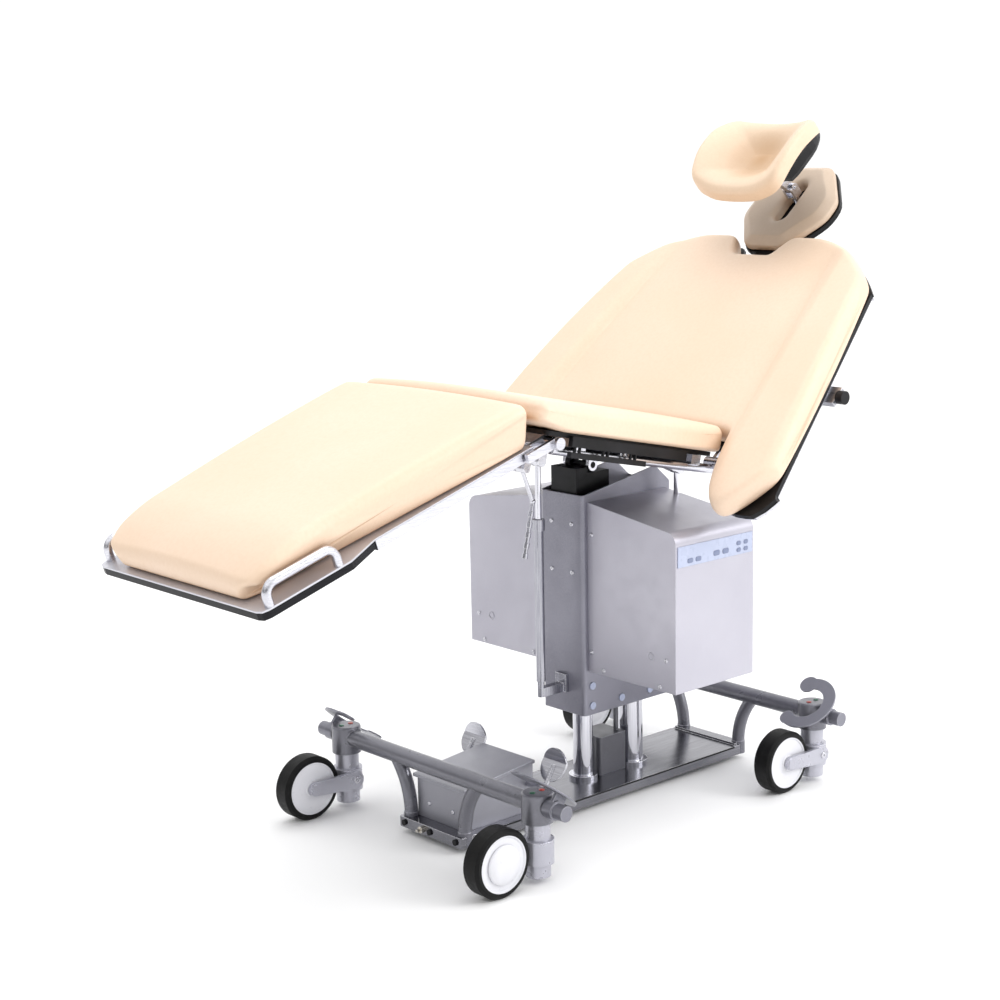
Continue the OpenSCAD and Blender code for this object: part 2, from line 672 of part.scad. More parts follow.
module seat_frame() color([0.84, 0.85, 0.87]) at_tilt() difference() {
    union() {
        both() {
            translate([rail_x, 0, rail_z]) along_y(-knee_y + edge_r / 2, back_y - edge_r / 2, rail_d);
            for (p = [[-knee_y, knee_z], [back_y, back_z]])
                translate([0, p[0], p[1]]) along_x(barrel_x, barrel_x + barrel_len, barrel_d);
            side_plate(bar_x, lug_t) {
                circle(lug_r);
                square_from(-lug_r, 0, lug_r, rail_z + rail_d / 2);
            }
            block([bar_x, bearer_y[0], rail_z], [bar_x + bar_w, bearer_y[2] + bearer_w, rail_z + rail_d]);
            eye_plates(rod_x, tilt_rod_y, tilt_rod_z, eye_r)
                polygon([[bearer_y[2], rail_z + rail_d / 4], [bearer_y[2], rail_z + rail_d], [bearer_y[2] + bearer_w, rail_z + rail_d],
                         [tilt_rod_y, tilt_rod_z + eye_r], [tilt_rod_y, tilt_rod_z - eye_r]]);
        }
        for (y = bearer_y)
            block([-bearer_x, y, rail_z + rail_d / 4], [bearer_x, y + bearer_w, seat_lift - board_t - near_gap]);
        eye_plates(0, -strut_pin_y, -strut_pin_z, eye_r)
            square_from(-strut_pin_y - eye_r, -strut_pin_z, -strut_pin_y + eye_r, rail_z + rail_d / 2);
        for (x = [lever_x - 2.4 * lever_d, lever_x + lever_d + near_gap]) side_plate(x, lever_d) {
            translate([-lever_y, -lever_z]) circle(lever_d);
            square_from(-lever_y - lever_d, -lever_z, -lever_y + lever_d, rail_z + rail_d / 2);
        }
        block([-bar_x, -lever_y - lever_d, rail_z], [bar_x + cut, -lever_y + lever_d, rail_z + rail_d]);
    }
    both() for (p = [[-knee_y, knee_z], [back_y, back_z]])
        translate([0, p[0], p[1]]) along_x(barrel_x - cut, barrel_x + barrel_len + cut, pin_d + 2 * run_gap);
    along_x(-rail_x / 2, rail_x / 2, tilt_pin_d + 2 * run_gap);
    translate([0, -lever_y, -lever_z]) along_x(-lever_d, lever_x + 3 * lever_d, lever_d + 2 * run_gap);
}

module seat_board() color([0.07, 0.07, 0.08]) at_tilt()
    translate([0, seat_rear - board_in - board_len / 2, seat_lift - board_t]) linear_extrude(board_t - near_gap)
        rounded(2 * (side_rail_x - near_gap), board_len, 2 * edge_r);

// Dark accessory rails beside the seat: an upper rail on spacers, and a lower one that hangs from it on pairs of posts
side_rail_x = 231;
side_rail_t = 10;
side_rail_h = 19;
side_rail_z = 43;
side_rail_y1 = 262;
side_rail_y2 = 36;
low_rail_h = 10;
low_rail_z = 19;
low_rail_y2 = 70;
spacer_d = 9;
post_d = 6;
post_gap = 12;
post_count = 3;
post_step = 71;
module side_rails() color([0.16, 0.16, 0.17]) at_tilt() both() {
    block([side_rail_x, -side_rail_y1, side_rail_z - side_rail_h / 2],
          [side_rail_x + side_rail_t, side_rail_y2, side_rail_z + side_rail_h / 2]);
    block([side_rail_x, -side_rail_y1, low_rail_z - low_rail_h / 2],
          [side_rail_x + side_rail_t, -low_rail_y2, low_rail_z + low_rail_h / 2]);
    for (i = [0:post_count - 1], j = [0, 1])
        translate([side_rail_x + side_rail_t / 2, -side_rail_y1 + post_gap + i * post_step + j * post_gap, low_rail_z])
            cylinder(h = side_rail_z - low_rail_z, d = post_d);
    for (y = bearer_y) if (y < 0)
        translate([0, y + bearer_w / 2, rail_z + rail_d - cut]) along_x(bearer_x + near_gap, side_rail_x + cut, spacer_d);
}

// Side profiles of the seat and leg cushions, drawn as [y, z] from the lower front corner round the top
seat_rear = 121;
board_in = 4;
board_len = 432;
seat_low_front = seat_len - seat_rear - 2 * soft_r;
function bulge(y, z, ry, rz, a1, a2, k) = [for (i = [0:k]) let (a = a1 + (a2 - a1) * i / k)
    [y + ry * cos(a), z + rz * sin(a)]];
seat_profile = let (m = seat_t / 2) concat(
    bulge(-(seat_len - seat_rear) + soft_r, m * 1.15, soft_r, m * 0.85, 215, 90, 6),
    [for (i = [1:5]) [-(seat_len - seat_rear) + soft_r + i * (seat_len - 2 * soft_r) / 6, seat_t]],
    bulge(seat_rear - soft_r, m, soft_r, m, 90, -60, 6),
    [[seat_rear - 2 * soft_r, 0]],
    [for (i = [1:3]) [seat_rear - 2 * soft_r - i * (seat_rear + seat_low_front - 2 * soft_r) / 4, 0]],
    [[-seat_low_front, 0]]);

// Slices of a cushion across the table: share of the edge radius from the side, and share of the inset
slice_shares = [[0.02, 0.95], [0.12, 0.6], [0.35, 0.28], [0.8, 0.06], [1.6, 0]];
middle_shares = [0.82, 0.55, 0.28, 0];
function slices(w) = let (h = concat([for (s = slice_shares) [w - s[0] * soft_r, s[1]]],
                                     [for (s = middle_shares) [s * (w - 1.6 * soft_r), 0]]))
    concat([for (s = h) [-s[0], s[1]]], [for (i = [len(h) - 2:-1:0]) h[i]]);
// Ring of a cushion at x: the profile drawn in by share v of its side radius, with a crown along the middle
function slice(p, x, w, v, crown, w_of) = let (n = len(p))
    [for (i = [0:n - 1]) let (d = unit(p[(i + 1) % n] - p[(i + n - 1) % n]), up = max(0, d[0]),
        rise = crown * (1 - pow(x / w, 2)) * up)
        [x * w_of(p[i][0], p[i][1]), p[i][0] + v * soft_r * d[1] * 0.9, p[i][1] - v * seat_t * 0.42 * d[0] + rise]];
function slab_rings(p, w, crown, w_of) = [for (s = slices(w)) slice(p, -s[0], w, s[1], crown, w_of)];

module seat_cushion() color([0.89, 0.86, 0.77]) at_tilt() translate([0, 0, seat_lift])
    loft(slab_rings(seat_profile, seat_w / 2, seat_crown, function (y, z) 1));

// Release lever hung under the seat
lever_x = 22;
lever_y = 172;
lever_z = 22;
lever_d = 8;
lever_bend_y = 131;
lever_bend_z = 82;
lever_end_z = 191;
lever_bead_d = 11;
lever_bead_h = 20;
lever_beads = 5;
module release_lever() color([0.3, 0.3, 0.32]) at_tilt() {
    translate([0, -lever_y, -lever_z]) along_x(lever_x - lever_d, lever_x + lever_d, lever_d * 2);
    translate([0, -lever_y, -lever_z]) along_x(lever_x - 2 * lever_d, lever_x + 2 * lever_d, lever_d);
    reach = norm([lever_y - lever_bend_y, lever_bend_z - lever_z]);
    translate([lever_x, -lever_y, -lever_z])
        rotate([180 + atan2(lever_y - lever_bend_y, lever_bend_z - lever_z), 0, 0]) cylinder(h = reach, d = lever_d);
    translate([lever_x, -lever_bend_y, -lever_bend_z]) sphere(d = lever_bead_d);
    translate([lever_x, -lever_bend_y, -lever_end_z]) cylinder(h = lever_end_z - lever_bend_z, d = lever_d);
    for (i = [0:lever_beads - 1])
        translate([lever_x, -lever_bend_y, -lever_end_z + i * lever_bead_h]) cylinder(h = lever_bead_h / 2, d = lever_bead_d);
}

// Hinge lugs on both sides of a barrel, with their pin; the outline between them is drawn as [y, z]
lug_gap = 0.4;
lug_plate = 8;
hinge_cap_t = 8;
module hinge_pair() both() {
    for (x = [barrel_x - lug_gap - lug_plate, barrel_x + barrel_len + lug_gap]) side_plate(x, lug_plate) {
        circle(d = barrel_d);
        children();
    }
    along_x(barrel_x - lug_gap - lug_plate - pin_head_t, barrel_x + barrel_len + lug_gap + lug_plate, pin_d);
    along_x(barrel_x + barrel_len + lug_gap + lug_plate / 2, barrel_x + barrel_len + lug_gap + lug_plate + hinge_cap_t,
            barrel_d - cut);
}

// Leg section, in a frame that turns about the knee axle and reaches towards -Y
leg_board_z = 11;
leg_board_t = 3;
leg_start_s = 46;
bar_low = 6;
step_s = 412;
step_end_s = 480;
foot_over = 24;
pan_t = 3;
foot_pan_t = 13;
leg_half_w = 220;
cross_w = 26;
module leg_frame() color([0.8, 0.81, 0.84]) at_knee() {
    hinge_pair() square_from(-leg_start_s - cross_w, -bar_low, 0, leg_board_z - near_gap);
    both() block([leg_half_w - 2 * edge_r, -step_s, -bar_low], [leg_half_w, -leg_start_s, leg_board_z - near_gap]);
    for (s = [leg_start_s, step_s - cross_w])
        block([-leg_half_w, -s - cross_w, -bar_low], [leg_half_w, -s, leg_board_z - near_gap]);
    block([-leg_half_w, -step_s, leg_board_z - near_gap - pan_t], [leg_half_w, -leg_start_s, leg_board_z - near_gap]);
    translate([0, 0, leg_board_z - near_gap - foot_pan_t]) linear_extrude(foot_pan_t) leg_outline(edge_r / 4, step_s - edge_r);
}
// Outline of the leg's board from distance s on, drawn in by e: it widens beside the feet
module leg_outline(e, s) {
    half = [for (p = [[leg_half_w, s], [leg_half_w, step_s], [leg_half_w + foot_over, step_end_s],
                      [leg_half_w + foot_over, leg_len - 4 * edge_r],
                      [leg_half_w + foot_over - edge_r, leg_len - edge_r],
                      [leg_half_w + foot_over - 4 * edge_r, leg_len]]) [p[0] - e, min(p[1], leg_len - e)]];
    polygon(concat([for (p = half) [p[0], -p[1]]], [for (i = [len(half) - 1:-1:0]) [-half[i][0], -half[i][1]]]));
}
module leg_board() color([0.1, 0.1, 0.11]) at_knee()
    translate([0, 0, leg_board_z]) linear_extrude(leg_board_t) leg_outline(0, leg_start_s);
// Grab rails beside the feet
grab_d = 16;
grab_len = 140;
grab_end = 22;
grab_s2 = leg_len - grab_end;
grab_s1 = grab_s2 - grab_len;
grab_bend = 20;
module grab_rails() color([0.9, 0.9, 0.92]) at_knee() both()
    translate([leg_half_w + foot_over - grab_d / 2, 0, leg_board_z + leg_board_t]) {
    for (s = [grab_s1, grab_s2]) translate([0, -s, 0]) cylinder(h = grab_h - grab_bend, d = grab_d);
    for (m = [0, 1]) translate([0, m ? -grab_s1 - grab_bend : -grab_s2 + grab_bend, grab_h - grab_bend]) mirror([0, m ? 0 : 1, 0])
        rotate([90, 0, 90]) rotate_extrude(angle = 90) translate([grab_bend, 0]) circle(d = grab_d);
    translate([0, 0, grab_h]) along_y(-grab_s2 + grab_bend, -grab_s1 - grab_bend, grab_d);
}
// Leg cushion: thick at the knee, it thins towards its foot, and its sides draw in below and beside the grab rails
leg_cushion_s1 = 51;
leg_cushion_end = 7;
leg_cushion_s2 = leg_len - leg_cushion_end;
slope_s = 530;
slope_drop = 16;
waist_s1 = 440;
waist_s2 = 500;
waist_in = 17;
leg_slim = 0.04;
base_in = 0.13;
function ease(t) = let (c = clamp(t)) c * c * (3 - 2 * c);
function leg_top(y) = let (t = clamp((-y - leg_cushion_s1) / (slope_s - leg_cushion_s1)))
    leg_knee_t - slope_drop * t * t
    - (leg_knee_t - slope_drop - leg_foot_t) * pow(clamp((-y - slope_s) / (leg_cushion_s2 - slope_s)), 1.5);
function leg_share(y, z) = 1 + leg_slim * y / leg_cushion_s2
    - waist_in / (leg_w / 2) * ease((-y - waist_s1) / (waist_s2 - waist_s1)) - base_in * (1 - clamp(z / leg_top(y)));
leg_profile = let (f = leg_foot_t / 2, k = leg_knee_t / 2) concat(
    bulge(-leg_cushion_s2 + soft_r, f, soft_r, f, 240, 95, 6),
    [for (i = [1:9]) let (y = -leg_cushion_s2 + soft_r + i * (leg_cushion_s2 - leg_cushion_s1 - 2 * soft_r) / 10)
        [y, leg_top(y)]],
    bulge(-leg_cushion_s1 - soft_r, k, soft_r, k, 85, -60, 6),
    [for (i = [0:5]) [-leg_cushion_s1 - 2 * soft_r - i * (leg_cushion_s2 - leg_cushion_s1 - 4 * soft_r) / 5, 0]]);
module leg_cushion() color([0.89, 0.86, 0.77]) at_knee() translate([0, 0, leg_board_z + leg_board_t + near_gap])
    loft(slab_rings(leg_profile, leg_w / 2, seat_crown, function (y, z) leg_share(y, z)));

// Back section, in a frame that turns about the back axle: x across, y up the back, z to the front
low_s = 33;
lobe_in_x = seat_w / 2 + edge_r;
lobe_side_s = 20;
board_lobe_len = 118;
board_side_s = 60;
crease_low_x = lobe_in_x + near_gap;
crease_top_x = 204;
shoulder_drop = 111;
notch_low_w = 100;
low_half_w = back_low_w / 2;
top_half_w = back_top_w / 2;
side_top_s = back_len - shoulder_drop;
function mix(a, b, t) = a + (b - a) * t;
function clamp(t) = max(0, min(1, t));
// Upper edge of the back at distance x from its middle
function top_s(x) = let (a = abs(x), n1 = notch_low_w / 2, n2 = notch_w / 2, k = 1.5)
    back_len - notch_depth * 0.5 * (1 + cos(180 * clamp((a - n1) / (n2 - n1))))
    - shoulder_drop * pow(clamp((a - k * n2) / (top_half_w - k * n2)), 2.1);
// Lower edge of the back at distance x from its middle: the lobe's depth, and its rise to s at the side from share a on
function lobe_edge(x, depth, s, a, power) = let (t = clamp((abs(x) - lobe_in_x) / (low_half_w - lobe_in_x)))
    low_s - (low_s + depth) * sin(90 * pow(clamp(t / 0.5), 0.75)) + (depth - s) * pow(clamp((t - a) / (1 - a)), power);
function low_edge(x) = lobe_edge(x, lobe_len, lobe_side_s, 0.5, 1.5);
function board_edge(x) = lobe_edge(x, board_lobe_len, board_side_s, 0.75, 2);

// Lines up the back: share from middle to crease, then share from crease to side
core_shares = [0, 0.14, 0.27, 0.31, 0.35, 0.39, 0.43, 0.6, 0.78, 0.93];
wing_shares = [0, 0.04, 0.1, 0.18, 0.28, 0.4, 0.54, 0.68, 0.8, 0.89, 0.95, 0.98, 1];
function low_x(core, w) = core < 1 ? core * crease_low_x : mix(crease_low_x, low_half_w, w);
function top_x(core, w) = core < 1 ? core * crease_top_x : mix(crease_top_x, top_half_w, w);
lines = concat([for (c = core_shares) [low_x(c, 0), top_x(c, 0)]], [for (w = wing_shares) [low_x(1, w), top_x(1, w)]]);
function back_half(e) = let (m = len(lines) - 1) concat(
    [for (i = [0:m]) [lines[i][1] - (i == m ? e : 0), top_s(lines[i][1]) - e]],
    [for (i = [m:-1:0]) [lines[i][0] + (i == m ? -e : lines[i][0] > lobe_in_x ? e : 0), board_edge(lines[i][0]) + e]]);
function back_outline(e) = let (h = back_half(e))
    concat(h, [for (i = [len(h) - 2:-1:1]) [-h[i][0], h[i][1]]]);

band_t = 6;
back_rail_t = 12;
head_y = 522;
head_z = 16;
head_pin_d = 8;
head_lug_x = 26;
head_lug_t = 8;
head_lug_r = 9;
head_barrel_d = 15;
module back_frame() color([0.86, 0.86, 0.89]) at_back() {
    translate([0, 0, -band_t]) linear_extrude(band_t - near_gap) polygon(back_outline(2 * edge_r));
    hinge_pair() square_from(0, -band_t - edge_r, low_s + 2 * edge_r, -band_t + edge_r / 2);
    both() {
        block([barrel_x - lug_gap - lug_plate, low_s, -band_t - back_rail_t],
              [barrel_x + barrel_len + lug_gap + lug_plate, back_len - 2 * notch_depth, -band_t]);
        side_plate(head_lug_x, head_lug_t) {
            polygon([[head_y - 2 * notch_depth, -band_t - back_rail_t], [head_y - 2 * notch_depth, -band_t],
                     [back_len - notch_depth + edge_r / 2, -band_t], [head_y - head_lug_r, head_z],
                     [head_y + head_lug_r, head_z], [head_y + head_lug_r, -band_t - back_rail_t / 2]]);
            translate([head_y, head_z]) circle(head_lug_r);
        }
    }
    translate([0, head_y, head_z]) along_x(-head_lug_x - head_lug_t, head_lug_x + head_lug_t, head_pin_d);
    for (s = [2 * low_s, back_len - 3 * notch_depth])
        block([-barrel_x, s, -band_t - back_rail_t], [barrel_x, s + cross_w, -band_t]);
}
module back_board() color([0.07, 0.07, 0.08]) at_back() linear_extrude(board_t) polygon(back_outline(edge_r));

// Back cushion with a crease between its middle and each wing
crease_depth = 9;
cushion_in = 3;
back_crown = 7;
back_bow = 0.09;
cushion_t = back_t - board_t;
row_shares = [0.08, 0.25, 0.42, 0.58, 0.75, 0.92];
under_shares = [0.75, 0.5, 0.25];
end_shares = [[0.7, 0], [0.25, 0.12], [0, 0.42], [0.1, 0.72], [0.42, 0.94]];
// Per line: share of full thickness and share of the crease's depth
core_sinks = [0, 0, 0, 0, 0, 0, 0, 0, 0.03, 0.3];
wing_thins = [[1, 1], [1, 0.55], [1, 0.12], [1, 0], [1, 0], [1, 0], [1, 0], [1, 0], [1, 0], [0.97, 0], [0.86, 0], [0.62, 0], [0.2, 0]];
function back_ring(xl, xt, thin, sink) = let (
    s1 = low_edge(xl) + cushion_in, s2 = top_s(xt) - cushion_in, r = min(soft_r, (s2 - s1) / 5),
    low = (1 - thin) * cushion_t * 0.45,
    high = function (v) low + thin * (cushion_t - sink * crease_depth * sin(180 * clamp(v * 0.9 + 0.05)) + back_crown * (1 - pow(2 * v - 1, 2))),
    place = function (s, z) let (t = (s - s1) / (s2 - s1)) [mix(xl, xt, t) * (1 + back_bow * t * (1 - t)), s, z]) concat(
    [for (e = end_shares) place(s1 + e[0] * r, low + e[1] * (high(0) - low))],
    [for (v = row_shares) place(mix(s1 + r, s2 - r, v), high(v))],
    [for (i = [len(end_shares) - 1:-1:0]) let (e = end_shares[i]) place(s2 - e[0] * r, low + e[1] * (high(1) - low))],
    [for (v = under_shares) place(mix(s1 + r, s2 - r, v), low)]);
back_slices = concat(
    [for (i = [0:len(core_shares) - 1]) concat(lines[i], [1, core_sinks[i]])],
    [for (i = [0:len(wing_shares) - 1]) let (l = lines[len(core_shares) + i], e = i == len(wing_shares) - 1 ? cushion_in : 0)
        concat([l[0] - e, l[1] - e], wing_thins[i])]);
module back_cushion() color([0.9, 0.87, 0.78]) at_back() translate([0, 0, board_t + near_gap]) {
    h = back_slices;
    loft(concat([for (i = [len(h) - 1:-1:0]) back_ring(h[i][0], h[i][1], h[i][2], h[i][3])],
                [for (i = [1:len(h) - 1]) back_ring(-h[i][0], -h[i][1], h[i][2], h[i][3])]));
}

// Clamp on the near edge of the back, with its hand screw
clamp_s = 185;
clamp_w = 40;
clamp_t = 12;
clamp_in = 26;
clamp_out = 16;
clamp_screw_d = 8;
clamp_knob_d = 26;
clamp_knob_h = 16;
clamp_x = mix(low_half_w, top_half_w, (clamp_s + board_side_s) / (side_top_s + board_side_s)) - edge_r;
module at_clamp() at_back() translate([clamp_x, clamp_s + clamp_w / 2, -band_t - clamp_t / 2]) children();
module side_clamp() color([0.5, 0.5, 0.52]) at_clamp() difference() {
    block([-clamp_in, -clamp_w / 2, -clamp_t / 2], [clamp_out, clamp_w / 2, clamp_t / 2 - near_gap]);
    along_x(0, 2 * clamp_out, clamp_screw_d + 2 * run_gap);
}
module side_knob() color([0.08, 0.08, 0.08]) at_clamp() {
    along_x(clamp_screw_d, clamp_out + clamp_knob_h, clamp_screw_d);
    along_x(clamp_out + near_gap, clamp_out + clamp_knob_h, clamp_knob_d);
}

// Head section, in a frame that turns about its own axle at the upper end of the back
head_start = 23;
head_plate_low = 2;
head_plate_t = 10.5;
head_over = 3;
head_corner_r = 21;
slot_s1 = 70;
slot_s2 = 183;
slot_plate_w = 24;
head_shares = [[0.47, 0], [1, 0.37], [1, 0.58], [0.37, 1], [-0.37, 1], [-1, 0.58], [-1, 0.37], [-0.47, 0]];
head_outline = rounding([for (p = head_shares) [p[0] * head_w / 2, head_start + p[1] * head_len, head_corner_r]], 3, 2);
module at_head() at_back() translate([0, head_y, head_z]) children();
module head_frame() color([0.09, 0.09, 0.1]) at_head() {
    translate([0, 0, -head_plate_low]) linear_extrude(head_plate_t) difference() {
        polygon(inset(head_outline, -head_over));
        translate([0, head_start + (slot_s1 + slot_s2) / 2]) stadium(slot_plate_w, slot_s2 - slot_s1);
    }
    difference() {
        union() {
            along_x(-head_lug_x + lug_gap, head_lug_x - lug_gap, head_barrel_d);
            block([-head_lug_x + lug_gap, 0, -head_plate_low], [head_lug_x - lug_gap, head_start + head_over, head_barrel_d / 2 - cut]);
        }
        along_x(-head_lug_x, head_lug_x, head_pin_d + 2 * run_gap);
    }
}
// Slot outline with round ends, length l along Y
module stadium(w, l) {
    square([w, l - w], center = true);
    for (y = [-1, 1]) translate([0, y * (l - w) / 2]) circle(d = w);
}
// Sections round the pad: share from outer edge to slot, distance from that edge, share of the thickness
pad_shares = [[0, 8, 0], [0, 0, 0.36], [0, 2.5, 0.7], [0, 9, 0.93], [0.35, 0, 1.06], [0.65, 0, 1.06], [1, -7, 0.93], [1, -2, 0.7], [1, 0, 0.36], [1, -4, 0]];
pad_low = head_plate_t - head_plate_low + near_gap;
function slot_point(p) = let (r = slot_w / 2, c = [0, max(head_start + slot_s1 + r, min(head_start + slot_s2 - r, p[1]))])
    c + r * unit(p - c);
module head_pad() color([0.9, 0.87, 0.78]) at_head() translate([0, 0, pad_low])
    loft([for (i = [len(head_outline) - 1:-1:0]) let (p = head_outline[i], q = slot_point(p), d = unit(q - p))
        [for (c = pad_shares) let (m = p + (q - p) * c[0] + d * c[1]) [m[0], m[1], c[2] * head_t]]], closed = true);

// Headrest: a carrier that slides in the slot, and a shell that tilts on it
carrier_s = 166;
carrier_w = 44;
carrier_len = 48;
carrier_t = 10;
stalk_d = 18;
pivot_z = 54;
pivot_pin_d = 8;
ear_half = 7;
fork_t = 6;
fork_r = 11;
stud_bore = 26;
module at_carrier() at_head() translate([0, carrier_s, 0]) children();
module at_rest() at_carrier() translate([0, 0, pivot_z]) rotate([rest_tilt, 0, 0]) children();
fork_x = ear_half + lug_gap;
module rest_carrier() color([0.3, 0.3, 0.32]) at_carrier() difference() {
    union() {
        block([-carrier_w / 2, -carrier_len / 2, -head_plate_low - near_gap - carrier_t], [carrier_w / 2, carrier_len / 2, -head_plate_low - near_gap]);
        translate([0, 0, -head_plate_low - near_gap - cut]) cylinder(h = pivot_z - 2 * fork_r + head_plate_low + near_gap + cut, d = stalk_d);
        translate([0, 0, pivot_z - 2 * fork_r]) linear_extrude(fork_r - fork_t) square([2 * (fork_x + fork_t), 2 * fork_r], center = true);
        both() side_plate(fork_x, fork_t) translate([0, pivot_z]) {
            circle(fork_r);
            square_from(-fork_r, -2 * fork_r, fork_r, 0);
        }
        translate([0, 0, pivot_z]) along_x(-fork_x - fork_t - pin_head_t, fork_x + fork_t + pin_head_t, pivot_pin_d);
    }
    translate([0, 0, -head_plate_low - near_gap - carrier_t - cut]) cylinder(h = stud_bore + cut, d = pivot_pin_d + 2 * run_gap);
}
knob_d = 38;
knob_h = 18;
knob_gap = 1;
module rest_knob() color([0.07, 0.07, 0.07]) at_carrier() translate([0, 0, -head_plate_low - near_gap - carrier_t - knob_gap - knob_h]) {
    cylinder(h = knob_h, d = knob_d);
    cylinder(h = knob_h + knob_gap + stud_bore - edge_r, d = pivot_pin_d);
}
rest_back = 38;
rest_up = 98;
shell_t = 8;
shell_gap = 0.8;
rest_t = 26;
rest_r = 14;
wing_rise = 34;
end_drop = 8;
rest_dish = 12;
rest_corner_r = 32;
disc_t = 8;
disc_d = 46;
module rest_arm() color([0.25, 0.25, 0.27]) at_rest() {
    difference() {
        side_plate(-ear_half, 2 * ear_half) {
            circle(fork_r - edge_r / 4);
            polygon([[-fork_r + edge_r / 4, 0], [fork_r - edge_r / 4, 0], [-rest_back + fork_r, rest_up - disc_t], [-rest_back - fork_r, rest_up - disc_t]]);
        }
        along_x(-disc_d, disc_d, pivot_pin_d + 2 * run_gap);
    }
    translate([0, -rest_back, rest_up - disc_t - cut]) cylinder(h = disc_t + cut, d = disc_d);
}
rest_shares = [[0.5, -1], [0.92, -0.85], [1, -0.3], [1, 0.45], [0.85, 0.92], [0.3, 1],
               [-0.3, 1], [-0.85, 0.92], [-1, 0.45], [-1, -0.3], [-0.92, -0.85], [-0.5, -1]];
rest_outline = rounding([for (p = rest_shares) [p[0] * rest_w / 2, p[1] * rest_len / 2, rest_corner_r * 0.6]], 2, 1);
function saddle(x, y) = let (a = pow(2 * x / rest_w, 2), b = pow(2 * y / rest_len, 2))
    wing_rise * a * (1 - b / 2) - end_drop * b;
// Rings of a curved pad from the middle of its underside, round its edge, to the middle of its top
under_rings = [0.04, 0.22, 0.4, 0.6, 0.8];
rim_shares = [[0.75, 0], [0.2, 0.16], [0, 0.45], [0.12, 0.72], [0.42, 0.92]];
top_rings = [[0.9, 0.05], [0.74, 0.3], [0.52, 0.72], [0.28, 0.95], [0.04, 1]];
function curved_pad(o, r, t, dish) = concat(
    [for (s = under_rings) [for (p = shrink(inset(o, r), [0, 0], s)) [p[0], p[1], saddle(p[0], p[1])]]],
    [for (s = rim_shares) [for (p = inset(o, s[0] * r)) [p[0], p[1], saddle(p[0], p[1]) + s[1] * t]]],
    [for (s = top_rings) [for (p = shrink(inset(o, r), [0, 0], s[0])) [p[0], p[1], saddle(p[0], p[1]) + t - s[1] * dish]]]);
// Shell under the headrest: flat below, and thin under the end nearest the back
shell_flat_s = 45;
shell_blend = 30;
shell_in = 3;
function shell_low(x, y) = let (rise = saddle(x, y))
    mix(rise + shell_t / 2, min(0, rise + shell_t / 4), ease((y + shell_flat_s + shell_blend) / shell_blend));
module rest_shell() color([0.06, 0.06, 0.07]) at_rest() translate([0, -rest_back, rest_up + near_gap]) {
    o = inset(rest_outline, shell_in);
    core = inset(o, shell_in);
    loft(concat(
        [for (s = under_rings) [for (p = shrink(core, [0, 0], s)) [p[0], p[1], shell_low(p[0], p[1])]]],
        [[for (p = core) [p[0], p[1], shell_low(p[0], p[1])]]],
        [for (h = [0.25, 0.75]) [for (p = o) [p[0], p[1], mix(shell_low(p[0], p[1]), saddle(p[0], p[1]) + shell_t, h)]]],
        [[for (p = core) [p[0], p[1], saddle(p[0], p[1]) + shell_t]]],
        [for (s = [for (i = [len(under_rings) - 1:-1:0]) under_rings[i]])
            [for (p = shrink(core, [0, 0], s)) [p[0], p[1], saddle(p[0], p[1]) + shell_t]]]));
}
module rest_cushion() color([0.9, 0.87, 0.78]) at_rest() translate([0, -rest_back, rest_up + shell_t + near_gap + shell_gap])
    loft(curved_pad(rest_outline, rest_r, rest_t, rest_dish));

base_plate();
frame_front();
frame_rear();
base_trim();
guide_columns();
lift_drive();
pedal_box();
pedal_near();
pedal_far();
earth_pin();
brake_front();
brake_rear();
yoke_front_near();
yoke_front_far();
yoke_rear_near();
yoke_rear_far();
hub_front_near();
hub_front_far();
hub_rear_near();
hub_rear_far();
tyre_front_near();
tyre_front_far();
tyre_rear_near();
tyre_rear_far();
column_cover();
lift_bearing();
tilt_head();
side_boxes();
control_strip();
port_caps();
strut_cylinder();
strut_rod();
tilt_rods();
seat_frame();
seat_board();
side_rails();
seat_cushion();
release_lever();
leg_frame();
leg_board();
grab_rails();
leg_cushion();
back_frame();
back_board();
back_cushion();
side_clamp();
side_knob();
head_frame();
head_pad();
rest_carrier();
rest_arm();
rest_shell();
rest_cushion();
rest_knob();
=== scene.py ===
"""Looks of a mobile operating table for eye surgery: finishes, cushions, small trim, light and camera.

Lengths are metres. X runs across the table, +Y points to the head end and Z is up from the floor.
"""

import math

import bmesh
import bpy
import numpy as np
from mathutils import Matrix, Vector


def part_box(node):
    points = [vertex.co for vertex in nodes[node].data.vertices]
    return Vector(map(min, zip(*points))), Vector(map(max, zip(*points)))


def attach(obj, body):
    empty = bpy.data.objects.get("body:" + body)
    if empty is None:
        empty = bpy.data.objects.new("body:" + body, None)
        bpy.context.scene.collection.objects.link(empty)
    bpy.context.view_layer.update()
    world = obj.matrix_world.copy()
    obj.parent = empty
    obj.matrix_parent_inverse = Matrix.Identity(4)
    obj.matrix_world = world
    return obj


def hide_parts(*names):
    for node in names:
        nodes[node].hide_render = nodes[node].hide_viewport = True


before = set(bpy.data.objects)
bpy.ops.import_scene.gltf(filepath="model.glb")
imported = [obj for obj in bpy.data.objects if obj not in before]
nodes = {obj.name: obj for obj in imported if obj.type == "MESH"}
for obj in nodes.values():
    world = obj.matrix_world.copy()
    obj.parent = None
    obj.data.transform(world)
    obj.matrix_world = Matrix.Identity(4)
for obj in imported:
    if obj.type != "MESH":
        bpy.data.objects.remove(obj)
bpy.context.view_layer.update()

# Places of the sections, as in the part
TILT_Z = 0.668
SEAT_TILT, KNEE_TURN, BACK_TURN = 12, 29.5, 53
KNEE, BACK = (0, -0.289, 0.036), (0, 0.146, 0.036)
HEAD = (0, 0.522, 0.016)
REST = (0, 0.166, 0.054)
REST_BACK, REST_UP = 0.038, 0.098


